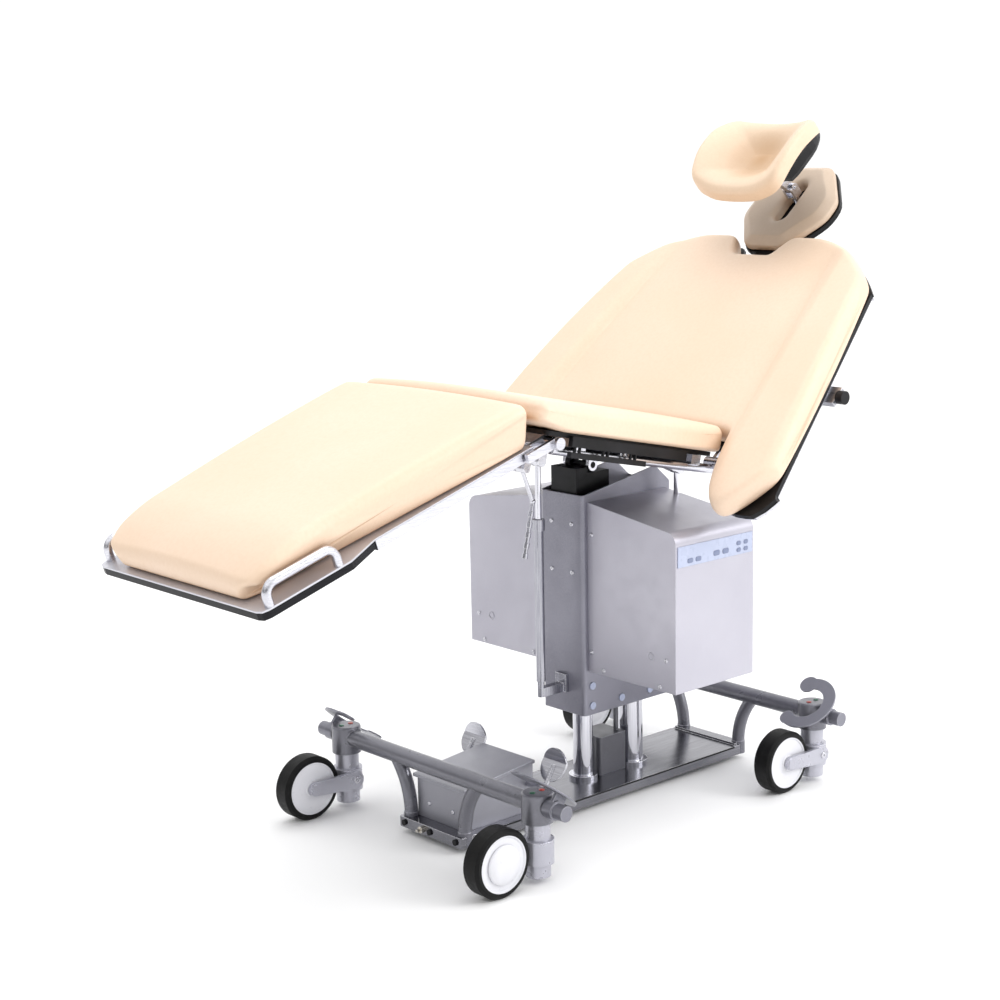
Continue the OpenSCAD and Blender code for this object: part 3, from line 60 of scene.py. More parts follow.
def turned(place, degrees):
    """A frame at a place, turned about X."""
    return Matrix.Translation(place) @ Matrix.Rotation(math.radians(degrees), 4, "X")


at_seat = turned((0, 0, TILT_Z), -SEAT_TILT)
at_leg = at_seat @ turned(KNEE, KNEE_TURN)
at_back = at_seat @ turned(BACK, BACK_TURN)
at_head = at_back @ Matrix.Translation(HEAD)
at_rest = at_head @ Matrix.Translation(REST)


# Materials

def srgb(r, g, b):
    """Linear colour from sRGB values of 0 to 255."""
    def linear(v):
        """One channel."""
        v /= 255
        return v / 12.92 if v <= 0.04045 else ((v + 0.055) / 1.055) ** 2.4
    return (linear(r), linear(g), linear(b), 1)


def math_output(tree, operation, a, b):
    """Output of a math node that takes two numbers or outputs."""
    made = tree.nodes.new("ShaderNodeMath")
    made.operation = operation
    for socket, value in zip(made.inputs, (a, b)):
        if isinstance(value, (int, float)):
            socket.default_value = value
        else:
            tree.links.new(value, socket)
    return made.outputs["Value"]


SAMPLES = 4
# Painted shade colours: brown in creases and gaps, and at the bottom of the headrest's dish
CREASE_SHADE, DISH_SHADE = srgb(196, 156, 118), srgb(190, 152, 112)
# Edge colours of steel and paint stand partly for wear, partly for a painted highlight
STEEL_EDGE_WEAR_AND_HIGHLIGHT, PAINT_FLAKE, PAINT_EDGE_WEAR_AND_HIGHLIGHT = srgb(244, 244, 248), srgb(225, 225, 235), srgb(222, 222, 232)


class Finish:
    """A procedural material whose patterns are placed by the object's own coordinates."""

    def __init__(self, name, rough, metal=0.0, **sockets):
        """Starts the shader; further sockets are given by name with underscores for spaces."""
        self.material = bpy.data.materials.new(name)
        self.material.use_nodes = True
        self.tree = self.material.node_tree
        self.shader = self.tree.nodes["Principled BSDF"]
        self.shader.inputs["Roughness"].default_value = rough
        self.shader.inputs["Metallic"].default_value = metal
        for key, value in sockets.items():
            self.shader.inputs[key.replace("_", " ")].default_value = value
        self.rough = rough
        self.height = None
        self.place = self.node("ShaderNodeTexCoord").outputs["Object"]

    def node(self, kind, **values):
        """New node with its properties set."""
        made = self.tree.nodes.new(kind)
        for key, value in values.items():
            setattr(made, key, value)
        return made

    def link(self, output, target):
        """Joins an output to an input."""
        self.tree.links.new(output, target)

    def stretched(self, scale):
        """Object coordinates scaled along each axis."""
        mapping = self.node("ShaderNodeMapping")
        mapping.inputs["Scale"].default_value = scale
        self.link(self.place, mapping.inputs["Vector"])
        return mapping.outputs["Vector"]

    def noise(self, scale, detail=3, stretch=None, rough=0.5):
        """Soft noise with scale cycles to a metre, stretched along axes where asked."""
        made = self.node("ShaderNodeTexNoise")
        made.inputs["Scale"].default_value = scale
        made.inputs["Detail"].default_value = detail
        made.inputs["Roughness"].default_value = rough
        self.link(self.stretched(stretch) if stretch else self.place, made.inputs["Vector"])
        return made.outputs["Fac"]

    def cells(self, scale):
        """Distance pattern of small cells, as in a grained skin."""
        made = self.node("ShaderNodeTexVoronoi", feature="F1")
        made.inputs["Scale"].default_value = scale
        self.link(self.place, made.inputs["Vector"])
        return made.outputs["Distance"]

    def ranged(self, value, low, high, start=0.0, end=1.0):
        """Value mapped so that start gives low and end gives high."""
        made = self.node("ShaderNodeMapRange")
        for key, number in (("From Min", start), ("From Max", end), ("To Min", low), ("To Max", high)):
            made.inputs[key].default_value = number
        self.link(value, made.inputs["Value"])
        return made.outputs["Result"]

    def combined(self, operation, a, b):
        """Two numbers or outputs put through a math operation."""
        return math_output(self.tree, operation, a, b)

    def blended(self, factor, a, b):
        """Colour that goes from a to b with the factor; a and b are colours or outputs."""
        made = self.node("ShaderNodeMix", data_type="RGBA")
        self.link(factor, made.inputs[0])
        for socket, value in ((made.inputs[6], a), (made.inputs[7], b)):
            if isinstance(value, tuple):
                socket.default_value = value
            else:
                self.link(value, socket)
        return made.outputs[2]

    def mottled(self, value, start, end, a, b, share=1.0):
        """Colour a, with b coming in by share where the value goes from start to end."""
        return self.blended(self.ranged(value, 0, share, start, end), a, b)

    def edges(self, radius):
        """0 on flat faces and up to 1 where an edge is sharp."""
        bevel = self.node("ShaderNodeBevel", samples=SAMPLES)
        bevel.inputs["Radius"].default_value = radius
        dot = self.node("ShaderNodeVectorMath", operation="DOT_PRODUCT")
        self.link(bevel.outputs["Normal"], dot.inputs[0])
        self.link(self.node("ShaderNodeNewGeometry").outputs["Normal"], dot.inputs[1])
        return self.ranged(dot.outputs["Value"], 1, 0, 0.8, 1.0)

    def hollows(self, distance):
        """Ambient occlusion for painted shade: 1 in the open and down to 0 in corners and gaps."""
        made = self.node("ShaderNodeAmbientOcclusion", samples=SAMPLES)
        made.inputs["Distance"].default_value = distance
        return self.ranged(made.outputs["AO"], 0.0, 1.0)

    def coloured(self, output):
        """Sets the colour pattern."""
        self.link(output, self.shader.inputs["Base Color"])

    def roughened(self, value, spread):
        """Lets the roughness vary by a spread round its own value."""
        self.link(self.ranged(value, self.rough - spread, self.rough + spread, 0.3, 0.7),
                  self.shader.inputs["Roughness"])

    def bumped(self, value, strength, depth, bevel=0.0):
        """Adds a height pattern, on normals that are rounded at the edges where bevel is set."""
        bump = self.node("ShaderNodeBump")
        bump.inputs["Strength"].default_value = strength
        bump.inputs["Distance"].default_value = depth
        self.link(value, bump.inputs["Height"])
        if self.height:
            self.link(self.height, bump.inputs["Normal"])
        elif bevel:
            rounded = self.node("ShaderNodeBevel", samples=SAMPLES)
            rounded.inputs["Radius"].default_value = bevel
            self.link(rounded.outputs["Normal"], bump.inputs["Normal"])
        self.height = bump.outputs["Normal"]
        self.link(self.height, self.shader.inputs["Normal"])


def upholstery(name, light, dark, fine_tone, reach=0.03, dish=None):
    """Smooth cream upholstery with painted shade: browner in creases within a reach and round the bottom of a
    dish.
    """
    made = Finish(name, 0.46, Coat_Weight=0.06, Coat_Roughness=0.4, Sheen_Weight=0.04)
    blotches = made.noise(4, 2)
    tone = made.mottled(blotches, 0.35, 0.65, dark, light)
    tone = made.mottled(made.noise(160, 3), 0.4, 0.7, tone, fine_tone, 0.3)
    # Painted shade: browner towards the bottom of the dish, where a dish centre is given
    if dish is not None:
        gap = made.node("ShaderNodeVectorMath", operation="DISTANCE")
        made.link(made.place, gap.inputs[0])
        gap.inputs[1].default_value = dish
        tone = made.mottled(gap.outputs["Value"], 0.01, 0.075, DISH_SHADE, tone)
    # Painted shade: browner in creases and gaps, by ambient occlusion within the reach
    made.coloured(made.blended(made.hollows(reach), CREASE_SHADE, tone))
    made.roughened(made.noise(60, 4), 0.06)
    made.bumped(made.cells(900), 0.14, 0.0004)
    made.bumped(made.noise(1700, 2), 0.08, 0.0002)
    made.bumped(blotches, 0.10, 0.004)
    return made.material


def steel(name, rough, light, dark, grain, streak, spread=0.07, strength=0.12):
    """Bare steel with a grain that runs along one axis."""
    made = Finish(name, rough, 1.0, Anisotropic=0.35)
    lines = made.noise(streak, 4, grain, 0.65)
    clouds = made.noise(7, 3)
    tone = made.mottled(lines, 0.3, 0.7, dark, light)
    worn = made.mottled(clouds, 0.4, 0.7, tone, dark, 0.3)
    # Edges brightened partly by wear, partly by a painted highlight
    made.coloured(made.blended(made.edges(0.0015), worn, STEEL_EDGE_WEAR_AND_HIGHLIGHT))
    made.roughened(made.combined("ADD", made.combined("MULTIPLY", lines, 0.6),
                                 made.combined("MULTIPLY", clouds, 0.4)), spread)
    made.bumped(lines, strength, 0.0004, 0.0012)
    return made.material


def metallic_paint(name, rough, tone, shade, flake=0.5):
    """Satin metallic paint with fine flakes, a faint orange peel and edges brightened partly by wear, partly by a
    painted highlight.
    """
    made = Finish(name, rough, 0.55, Coat_Weight=0.15, Coat_Roughness=0.3)
    flakes = made.noise(2600, 2)
    clouds = made.noise(4, 3)
    base = made.mottled(clouds, 0.35, 0.65, tone, shade)
    base = made.mottled(flakes, 0.45, 0.75, base, PAINT_FLAKE, flake)
    # Edges brightened partly by wear, partly by a painted highlight
    made.coloured(made.mottled(made.edges(0.002), 0, 1, base, PAINT_EDGE_WEAR_AND_HIGHLIGHT, 0.5))
    made.roughened(made.noise(35, 4), 0.06)
    made.bumped(made.noise(420, 2), 0.05, 0.0004, 0.0018)
    made.bumped(flakes, 0.05, 0.0001)
    return made.material


def moulded(name, rough, tone, worn, grain=700, strength=0.14, **sockets):
    """Moulded plastic or black lacquer with a fine grain and edges paled partly by wear, partly by a painted
    highlight.
    """
    made = Finish(name, rough, 0.0, **sockets)
    clouds = made.noise(9, 4)
    base = made.mottled(clouds, 0.4, 0.75, tone, worn)
    # Edges paled towards the worn tone, partly by wear and partly by a painted highlight
    made.coloured(made.mottled(made.edges(0.0015), 0, 1, base, worn, 0.6))
    made.roughened(made.noise(80, 5), 0.08)
    made.bumped(made.cells(grain), strength, 0.0003, 0.0012)
    return made.material


PAN_START, PAN_BLUR = 0.4105, 0.0005


def split_frame(place, reach):
    """Bare steel rails that end in a black pan, past a reach towards the foot from a place."""
    made = Finish("split_frame", 0.3, Specular_IOR_Level=0.12)
    along = place.to_3x3() @ Vector((0, -1, 0))
    dot = made.node("ShaderNodeVectorMath", operation="DOT_PRODUCT")
    made.link(made.place, dot.inputs[0])
    dot.inputs[1].default_value = along
    edge = along.dot(place.translation) + reach
    rail = made.ranged(dot.outputs["Value"], 1, 0, edge - PAN_BLUR, edge + PAN_BLUR)
    lines = made.noise(700, 4, ALONG, 0.65)
    bright = made.mottled(lines, 0.3, 0.7, srgb(188, 188, 196), srgb(226, 226, 232))
    pan = made.blended(made.noise(9, 4), srgb(14, 14, 16), srgb(40, 40, 44))
    made.coloured(made.blended(rail, pan, bright))
    made.link(rail, made.shader.inputs["Metallic"])
    made.roughened(lines, 0.06)
    made.bumped(lines, 0.1, 0.0004, 0.0012)
    return made.material


def tyre_rubber():
    """Black rubber with paler scuffs."""
    made = Finish("tyre_rubber", 0.52, 0.0, Specular_IOR_Level=0.2)
    scuffs = made.noise(55, 5, rough=0.7)
    made.coloured(made.mottled(scuffs, 0.5, 0.8, srgb(10, 10, 11), srgb(28, 27, 27)))
    made.roughened(scuffs, 0.12)
    made.bumped(made.noise(900, 4), 0.22, 0.0005, 0.0015)
    made.bumped(scuffs, 0.15, 0.001)
    return made.material


UP, ACROSS, ALONG = (1, 1, 0.02), (0.02, 1, 1), (1, 0.02, 1)
# Centre of the painted shade in the headrest's dish, and the reach of the headrest's painted crease shade
DISH_SHADE_AHEAD, DISH_SHADE_OVER, DISH_SHADE_REACH = 0.006, 0.018, 0.16
finishes = {
    "cushion": upholstery("cream_upholstery", srgb(236, 210, 186), srgb(233, 206, 180), srgb(227, 197, 169)),
    # Darker copies of the cream upholstery as painted shade: much darker for the head pad, slightly darker for the
    # headrest
    "shaded_head_cushion": upholstery("shaded_upholstery", srgb(202, 181, 160), srgb(197, 175, 153),
                               srgb(190, 167, 145)),
    "rest_cushion": upholstery("shaded_rest_upholstery", srgb(231, 207, 181), srgb(227, 202, 175), srgb(220, 193, 165),
                               DISH_SHADE_REACH, at_rest @ Vector((0, DISH_SHADE_AHEAD - REST_BACK, REST_UP + DISH_SHADE_OVER))),
    "satin_steel": steel("satin_steel", 0.3, srgb(214, 214, 220), srgb(168, 168, 176), ACROSS, 700),
    "rail_steel": steel("rail_steel", 0.22, srgb(226, 226, 232), srgb(188, 188, 196), ALONG, 700),
    "strut_steel": steel("strut_steel", 0.24, srgb(186, 186, 194), srgb(142, 142, 150), UP, 700),
    "polished_column": steel("polished_column", 0.09, srgb(222, 222, 228), srgb(196, 196, 204), UP, 500,
                             spread=0.03, strength=0.03),
    "plate_steel": steel("plate_steel", 0.2, srgb(152, 152, 158), srgb(116, 116, 122), ALONG, 600,
                         spread=0.06, strength=0.08),
    "pedal_steel": steel("pedal_steel", 0.16, srgb(216, 216, 222), srgb(170, 170, 178), ACROSS, 500),
    "silver_paint": metallic_paint("silver_paint", 0.36, srgb(182, 180, 190), srgb(172, 170, 181)),
    "frame_paint": metallic_paint("frame_paint", 0.32, srgb(102, 102, 110), srgb(88, 88, 96)),
    "column_paint": metallic_paint("column_paint", 0.36, srgb(126, 125, 137), srgb(115, 114, 126)),
    "castor_paint": metallic_paint("castor_paint", 0.3, srgb(186, 186, 196), srgb(172, 172, 182)),
    "dark_paint": metallic_paint("dark_paint", 0.4, srgb(92, 92, 98), srgb(78, 78, 84), 0.25),
    "brake_paint": metallic_paint("brake_paint", 0.34, srgb(128, 128, 138), srgb(112, 112, 122), 0.3),
    "black_edge": moulded("black_edge", 0.36, srgb(11, 11, 13), srgb(34, 34, 38), Specular_IOR_Level=0.22),
    "black_metal": moulded("black_metal", 0.44, srgb(11, 11, 13), srgb(36, 36, 40), 500, 0.1,
                           Specular_IOR_Level=0.22),
    "tyre": tyre_rubber(),
    "split_frame": split_frame(at_leg, PAN_START),
    "sheet_steel": metallic_paint("sheet_steel", 0.38, srgb(206, 206, 213), srgb(192, 192, 200)),
    "pedal_case": metallic_paint("pedal_case", 0.36, srgb(150, 150, 158), srgb(134, 134, 142), 0.35),
    "hub": moulded("hub_plastic", 0.34, srgb(226, 226, 231), srgb(212, 212, 218), 600, 0.08, Coat_Weight=0.2),
    "pale_blue": moulded("pale_blue_film", 0.3, srgb(178, 186, 210), srgb(166, 174, 200), 900, 0.05,
                         Coat_Weight=0.3),
    "brass": steel("nickel_brass", 0.18, srgb(224, 218, 206), srgb(196, 188, 172), UP, 700),
}

NODE_FINISH = {
    "base_plate": "plate_steel", "frame_front": "frame_paint", "frame_rear": "frame_paint",
    "base_trim": "black_edge", "guide_columns": "polished_column", "lift_drive": "dark_paint",
    "pedal_box": "pedal_case", "pedal_near": "pedal_steel", "pedal_far": "pedal_steel",
    "earth_pin": "brass", "brake_front": "brake_paint", "brake_rear": "brake_paint",
    "column_cover": "column_paint", "lift_bearing": "dark_paint", "tilt_head": "black_metal",
    "side_boxes": "silver_paint", "control_strip": "pale_blue", "port_caps": "pale_blue",
    "strut_cylinder": "strut_steel", "strut_rod": "polished_column", "tilt_rods": "polished_column",
    "seat_frame": "rail_steel", "seat_board": "black_edge", "side_rails": "black_metal",
    "release_lever": "rail_steel", "leg_frame": "split_frame", "leg_board": "sheet_steel",
    "grab_rails": "rail_steel", "back_frame": "rail_steel", "back_board": "black_edge",
    "side_clamp": "satin_steel", "side_knob": "black_metal", "head_frame": "black_metal",
    "rest_carrier": "rail_steel", "rest_arm": "rail_steel", "rest_shell": "black_metal",
    "rest_knob": "black_edge",
}
for name, node in nodes.items():
    kind = name.split("_")[0]
    finish = {"yoke": "castor_paint", "hub": "hub", "tyre": "tyre"}.get(kind, NODE_FINISH.get(name, "cushion"))
    node.data.materials.clear()
    node.data.materials.append(finishes[finish])


# Meshes

def mesh_piece(name, points, faces, material, place=None, smooth=True):
    """Object from points and faces, put at a place, with one of the finishes."""
    data = bpy.data.meshes.new(name)
    data.from_pydata([tuple(p) for p in points], [], [tuple(f) for f in faces])
    data.materials.append(finishes[material])
    piece = bpy.data.objects.new(name, data)
    bpy.context.scene.collection.objects.link(piece)
    if place is not None:
        data.transform(place)
    data.validate()
    for face in data.polygons:
        face.use_smooth = smooth
    return piece


def lofted(name, rings, material, place, closed=False):
    """Closed mesh through rings of equal point counts, in the order that turns its faces outwards."""
    rings = np.asarray(rings, float)
    m, n = rings.shape[:2]
    rows = range(m if closed else m - 1)
    faces = [(i * n + j, ((i + 1) % m) * n + j, ((i + 1) % m) * n + (j + 1) % n, i * n + (j + 1) % n)
             for i in rows for j in range(n)]
    if not closed:
        faces += [tuple(range(n)), tuple((m - 1) * n + j for j in range(n - 1, -1, -1))]
    return mesh_piece(name, rings.reshape(-1, 3), faces, material, place)


def outward(piece):
    """Turns all faces outwards."""
    work = bmesh.new()
    work.from_mesh(piece.data)
    bmesh.ops.recalc_face_normals(work, faces=work.faces)
    work.to_mesh(piece.data)
    work.free()


def cushion_piece(piece, node, body):
    """Smooths a cushion and lets it stand for its node on its body."""
    outward(piece)
    smooth = piece.modifiers.new("smooth", "SUBSURF")
    smooth.levels = smooth.render_levels = 1
    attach(piece, body)
    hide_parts(node)


def smoothstep(t):
    """0 to 1 with a soft start and end."""
    t = np.clip(t, 0, 1)
    return t * t * (3 - 2 * t)


def arc(centre, radii, start, end, steps):
    """Points of an elliptic arc in degrees."""
    angles = np.radians(np.linspace(start, end, steps))
    return np.stack([centre[0] + radii[0] * np.cos(angles), centre[1] + radii[1] * np.sin(angles)], 1)


def spaced(a, b, steps):
    """Points on a line between two points, without its ends."""
    t = (np.arange(1, steps + 1) / (steps + 1))[:, None]
    return (1 - t) * np.array(a) + t * np.array(b)


# Seat and leg cushions, drawn from their side profiles
SIDE_STEPS = 7
MIDDLE = 20
UNDER_SHARE = 0.45


def side_offsets(half, edge):
    """Places across the cushion, each with its share of the edge radius drawn in."""
    turn = np.radians(np.linspace(0, 90, SIDE_STEPS))
    xs = list(half - edge * (1 - np.cos(turn)))
    ins = list(1 - np.sin(turn))
    inner = np.linspace(half - edge, 0, MIDDLE // 2 + 1)[1:]
    xs += list(inner)
    ins += [0.0] * len(inner)
    return [(-x, v) for x, v in zip(xs, ins)] + [(x, v) for x, v in zip(xs[-2::-1], ins[-2::-1])]


def slab(name, profile, half, edge, crown, width_of, place):
    """Cushion whose profile [y, z] runs round its side, drawn in towards both sides."""
    ahead, behind = np.roll(profile, -1, 0), np.roll(profile, 1, 0)
    way = ahead - behind
    way /= np.linalg.norm(way, axis=1)[:, None]
    rise = np.clip(way[:, 0], 0, None)
    rings = []
    for x, share in side_offsets(half, edge):
        crowned = profile.copy()
        crowned[:, 0] += share * edge * way[:, 1]
        crowned[:, 1] += -share * edge * way[:, 0] * np.where(way[:, 0] > 0, 1, UNDER_SHARE)
        crowned[:, 1] += crown * (1 - (x / half) ** 2) * rise
        wide = width_of(profile[:, 0], profile[:, 1])
        rings.append(np.stack([x * wide, crowned[:, 0], crowned[:, 1]], 1))
    return lofted(name, rings, "cushion", place)


SEAT_HALF, SEAT_FRONT, SEAT_REAR, SEAT_T = 0.2555, -0.357, 0.121, 0.050
SEAT_LIFT = 0.057
NOSE_R, NOSE_LOW, HEEL_R, HEEL_LOW = 0.024, 0.022, 0.018, 0.012
seat_profile = np.concatenate([
    arc((SEAT_FRONT + NOSE_LOW, NOSE_LOW), (NOSE_LOW, 0.019), 215, 150, 4),
    arc((SEAT_FRONT + NOSE_R, SEAT_T - NOSE_R), (NOSE_R, NOSE_R), 150, 90, 5),
    spaced((SEAT_FRONT + NOSE_R, SEAT_T), (SEAT_REAR - HEEL_R, SEAT_T), 14),
    arc((SEAT_REAR - HEEL_R, SEAT_T - HEEL_R), (HEEL_R, HEEL_R), 90, 0, 6),
    arc((SEAT_REAR - HEEL_LOW, 0.014), (HEEL_LOW, 0.014), 0, -90, 5),
    spaced((SEAT_REAR - HEEL_LOW, 0), (SEAT_FRONT + 0.034, 0), 14),
])
seat = slab("seat_pad", seat_profile, SEAT_HALF, edge=0.018, crown=0.008,
            width_of=lambda y, z: np.ones_like(y), place=at_seat @ Matrix.Translation((0, 0, SEAT_LIFT)))
cushion_piece(seat, "seat_cushion", "seat")

LEG_NEAR, LEG_FAR, LEG_KNEE_T, LEG_FOOT_T = -0.051, -0.655, 0.092, 0.043
LEG_LIFT, LEG_HALF = 0.0143, 0.2535
SLOPE_START, SLOPE_DROP = -0.530, 0.016
WAIST_IN, WAIST_START, WAIST_LEN, TAPER = 0.067, 0.120, 0.380, 0.04
CORNER_IN, CORNER_START, CORNER_LEN, BASE_IN = 0.11, 0.610, 0.045, 0.13


def leg_top(y):
    """Thickness of the leg cushion: it thins slowly from the knee and faster at its foot."""
    upper = np.clip((LEG_NEAR - y) / (LEG_NEAR - SLOPE_START), 0, 1)
    lower = np.clip((SLOPE_START - y) / (SLOPE_START - LEG_FAR), 0, 1)
    return LEG_KNEE_T - SLOPE_DROP * upper ** 2 - (LEG_KNEE_T - SLOPE_DROP - LEG_FOOT_T) * lower ** 1.5


def leg_width(y, z):
    """Share of the full width: less beside the grab rails, at the foot corners and towards the base."""
    waist = WAIST_IN * np.clip((-y - WAIST_START) / WAIST_LEN, 0, 1) ** 1.2 + TAPER * (y / LEG_FAR)
    corner = np.clip((-y - CORNER_START) / CORNER_LEN, 0, 1)
    base = BASE_IN * (1 - np.clip(z / leg_top(y), 0, 1)) ** 1.15
    return 1 - waist - base - CORNER_IN * (1 - np.sqrt(1 - corner ** 2 * 0.96))


def top_line(start, end, steps):
    """Points on top of the leg cushion, without the ends."""
    y = np.linspace(start, end, steps + 2)[1:-1]
    return np.stack([y, leg_top(y)], 1)


KNEE_R, LOW_R, FOOT_R, FOOT_LOW = 0.028, 0.018, 0.020, 0.014
leg_profile = np.concatenate([
    arc((LEG_FAR + LOW_R, FOOT_LOW), (0.016, FOOT_LOW), 250, 180, 4),
    arc((LEG_FAR + FOOT_R, LEG_FOOT_T - LOW_R), (FOOT_R, 0.021), 176, 104, 6),
    top_line(LEG_FAR + LOW_R, LEG_NEAR - 0.030, 24),
    arc((LEG_NEAR - KNEE_R, LEG_KNEE_T - KNEE_R), (KNEE_R, KNEE_R), 86, 0, 7),
    arc((LEG_NEAR - LOW_R, LOW_R), (0.016, LOW_R), 0, -90, 5),
    spaced((LEG_NEAR - LOW_R, 0), (LEG_FAR + FOOT_LOW, 0), 18),
])
leg = slab("leg_pad", leg_profile, LEG_HALF, edge=0.020, crown=0.007,
           width_of=leg_width, place=at_leg @ Matrix.Translation((0, 0, LEG_LIFT)))
cushion_piece(leg, "leg_cushion", "leg")

# Back cushion: lines that run up the back, from its middle to its side
LOW_S, LOBE_IN, LOBE_SIDE, LOBE_LEN = 0.033, 0.260, 0.020, 0.138
BACK_LEN, LOW_HALF, TOP_HALF = 0.570, 0.412, 0.325
NOTCH_LOW, NOTCH_TOP, NOTCH_DEEP, SHOULDER = 0.050, 0.085, 0.054, 0.111
CREASE_LOW, CREASE_TOP, BOW = 0.2603, 0.204, 0.09
BACK_LIFT, BACK_T, CUSHION_IN = 0.0093, 0.049, 0.003
SHOULDER_START = 1.5 * NOTCH_TOP


def top_s(x):
    """Upper end of the line that ends at x: a notch in the middle and falling shoulders."""
    a = abs(x)
    drop = np.clip((a - SHOULDER_START) / (TOP_HALF - SHOULDER_START), 0, 1) ** 2.1
    notch = np.clip((a - NOTCH_LOW) / (NOTCH_TOP - NOTCH_LOW), 0, 1)
    return BACK_LEN - NOTCH_DEEP * 0.5 * (1 + np.cos(np.pi * notch)) - SHOULDER * drop


def low_edge(x):
    """Lower end of the line that starts at x: straight over the seat, then a lobe at each side."""
    t = np.clip((abs(x) - LOBE_IN) / (LOW_HALF - LOBE_IN), 0, 1)
    swing = np.sin(np.pi / 2 * np.clip(t / 0.5, 0, 1) ** 0.75)
    return LOW_S - (LOW_S + LOBE_LEN) * swing + (LOBE_LEN - LOBE_SIDE) * np.clip((t - 0.5) / 0.5, 0, 1) ** 1.5


CORE = np.linspace(0, 1, 19)
WING_FLAT = 0.85
WING = np.concatenate([WING_FLAT * np.linspace(0, 1, 22)[1:] ** 1.35,
                       WING_FLAT + (1 - WING_FLAT) * np.sin(np.radians(np.linspace(0, 90, 8)))[1:]])
WING_SOFT = 0.14
RISE, SINK, WING_FALL = 0.010, 0.006, 0.004
CREASE_START, CREASE_END, SIDE_START, THIN_SIDE = 0.72, 0.34, 0.8, 0.12
BACK_EDGE, BACK_UNDER, BACK_CROWN, UNDER_POINTS = 0.024, 0.42, 0.005, 14


def back_ring(low_x, top_x, thin, lift):
    """Ring round the cushion along one line up the back, thinned and lifted by its share."""
    s1, s2 = low_edge(low_x) + CUSHION_IN, top_s(top_x) - CUSHION_IN
    edge = min(BACK_EDGE, (s2 - s1) / 5)
    low = (1 - thin) * BACK_T * BACK_UNDER
    span = np.linspace(0, 1, 40)

    def height(v):
        """Top of the cushion at a share of the line."""
        return low + thin * (BACK_T + lift * np.sin(np.pi * np.clip(v * 0.92 + 0.04, 0, 1)) ** 0.5
                             + BACK_CROWN * (1 - (2 * v - 1) ** 2))

    turn = np.radians(np.linspace(-90, 90, 11))[1:-1]
    out, up = edge * (1 - np.cos(turn) ** 0.75), 0.5 + 0.5 * np.sin(turn)
    s = np.concatenate([s1 + out, s1 + edge + span * (s2 - s1 - 2 * edge), (s2 - out)[::-1],
                        np.linspace(s2 - edge, s1 + edge, UNDER_POINTS)])
    z = np.concatenate([low + up * (height(0) - low), height(span), (low + up * (height(1) - low))[::-1],
                        np.full(UNDER_POINTS, low)])
    t = np.clip((s - s1) / (s2 - s1), 0, 1)
    x = (low_x + (top_x - low_x) * t) * (1 + BOW * t * (1 - t))
    return np.stack([x, s, z], 1)


half_lines = []
for c in CORE:
    dip = -SINK * smoothstep((c - CREASE_START) / (1 - CREASE_START))
    half_lines.append((c * CREASE_LOW, c * CREASE_TOP, 1.0, dip))
for w in WING:
    thin = math.sqrt(max(0.0, 1 - (max(0.0, w - 1 + WING_SOFT) / WING_SOFT) ** 2)) ** 0.8
    lift = -SINK + (RISE + SINK) * float(smoothstep(w / CREASE_END)) - WING_FALL * w
    drawn_in = CUSHION_IN * smoothstep((w - SIDE_START) / (1 - SIDE_START))
    half_lines.append((CREASE_LOW + (LOW_HALF - CREASE_LOW) * w - drawn_in,
                       CREASE_TOP + (TOP_HALF - CREASE_TOP) * w - drawn_in, max(thin, THIN_SIDE), lift))
rings = [back_ring(*line) for line in half_lines[:0:-1]]
rings = [ring * (-1, 1, 1) for ring in rings] + [back_ring(*line) for line in half_lines]
back = lofted("back_pad", rings, "cushion", at_back @ Matrix.Translation((0, 0, BACK_LIFT)))
cushion_piece(back, "back_cushion", "back")

# Head pad: a bevelled ring round its slot
HEAD_HALF, HEAD_LEN, HEAD_START, HEAD_T = 0.111, 0.240, 0.023, 0.028
HEAD_LIFT, SLOT_R, SLOT_A, SLOT_B = 0.0088, 0.015, 0.070, 0.183
CORNER = 0.016
head_corners = [(0.47, 0), (1, 0.37), (1, 0.58), (0.37, 1), (-0.37, 1), (-1, 0.58), (-1, 0.37), (-0.47, 0)]


def softened(corners, radius, steps=4, between=5):
    """Outline with its corners rounded by short curves."""
    points, count = [], len(corners)
    corners = [np.array(c, float) for c in corners]
    for i, p in enumerate(corners):
        before, after = corners[i - 1] - p, corners[(i + 1) % count] - p
        a = p + radius * before / np.linalg.norm(before)
        b = p + radius * after / np.linalg.norm(after)
        for t in np.linspace(0, 1, steps):
            points.append((1 - t) ** 2 * a + 2 * t * (1 - t) * p + t * t * b)
        following = corners[(i + 1) % count]
        back_way = p - following
        end = following + radius * back_way / np.linalg.norm(back_way)
        points += list(spaced(b, end, between))
    return np.array(points)


outline = softened([(x * HEAD_HALF, HEAD_START + y * HEAD_LEN) for x, y in head_corners], CORNER)
pad_rings = []
for p in outline:
    c = np.array([0, min(max(p[1], HEAD_START + SLOT_A + SLOT_R), HEAD_START + SLOT_B - SLOT_R)])
    q = c + SLOT_R * (p - c) / np.linalg.norm(p - c)
    d = (q - p) / np.linalg.norm(q - p)
    wide = np.linalg.norm(q - p)
    shape = [(0.003, 0), (0.0005, 0.06), (0, 0.2), (0, 0.48), (0.0008, 0.56), (0.003, 0.62), (0.010, 0.78),
             (0.018, 0.96), (0.0205, 1.0), (0.024, 1.015), (0.4 * wide + 0.014, 1.02), (wide - 0.020, 1.015),
             (wide - 0.012, 1.0), (wide - 0.006, 0.92), (wide - 0.002, 0.78), (wide, 0.6), (wide, 0.3),
             (wide - 0.001, 0.08), (wide - 0.004, 0), (0.5 * wide, 0)]
    pad_rings.append([[*(p + d * r), h * HEAD_T] for r, h in shape])
head = lofted("head_ring", pad_rings, "shaded_head_cushion", at_head @ Matrix.Translation((0, 0, HEAD_LIFT)),
              closed=True)
cushion_piece(head, "head_pad", "head")

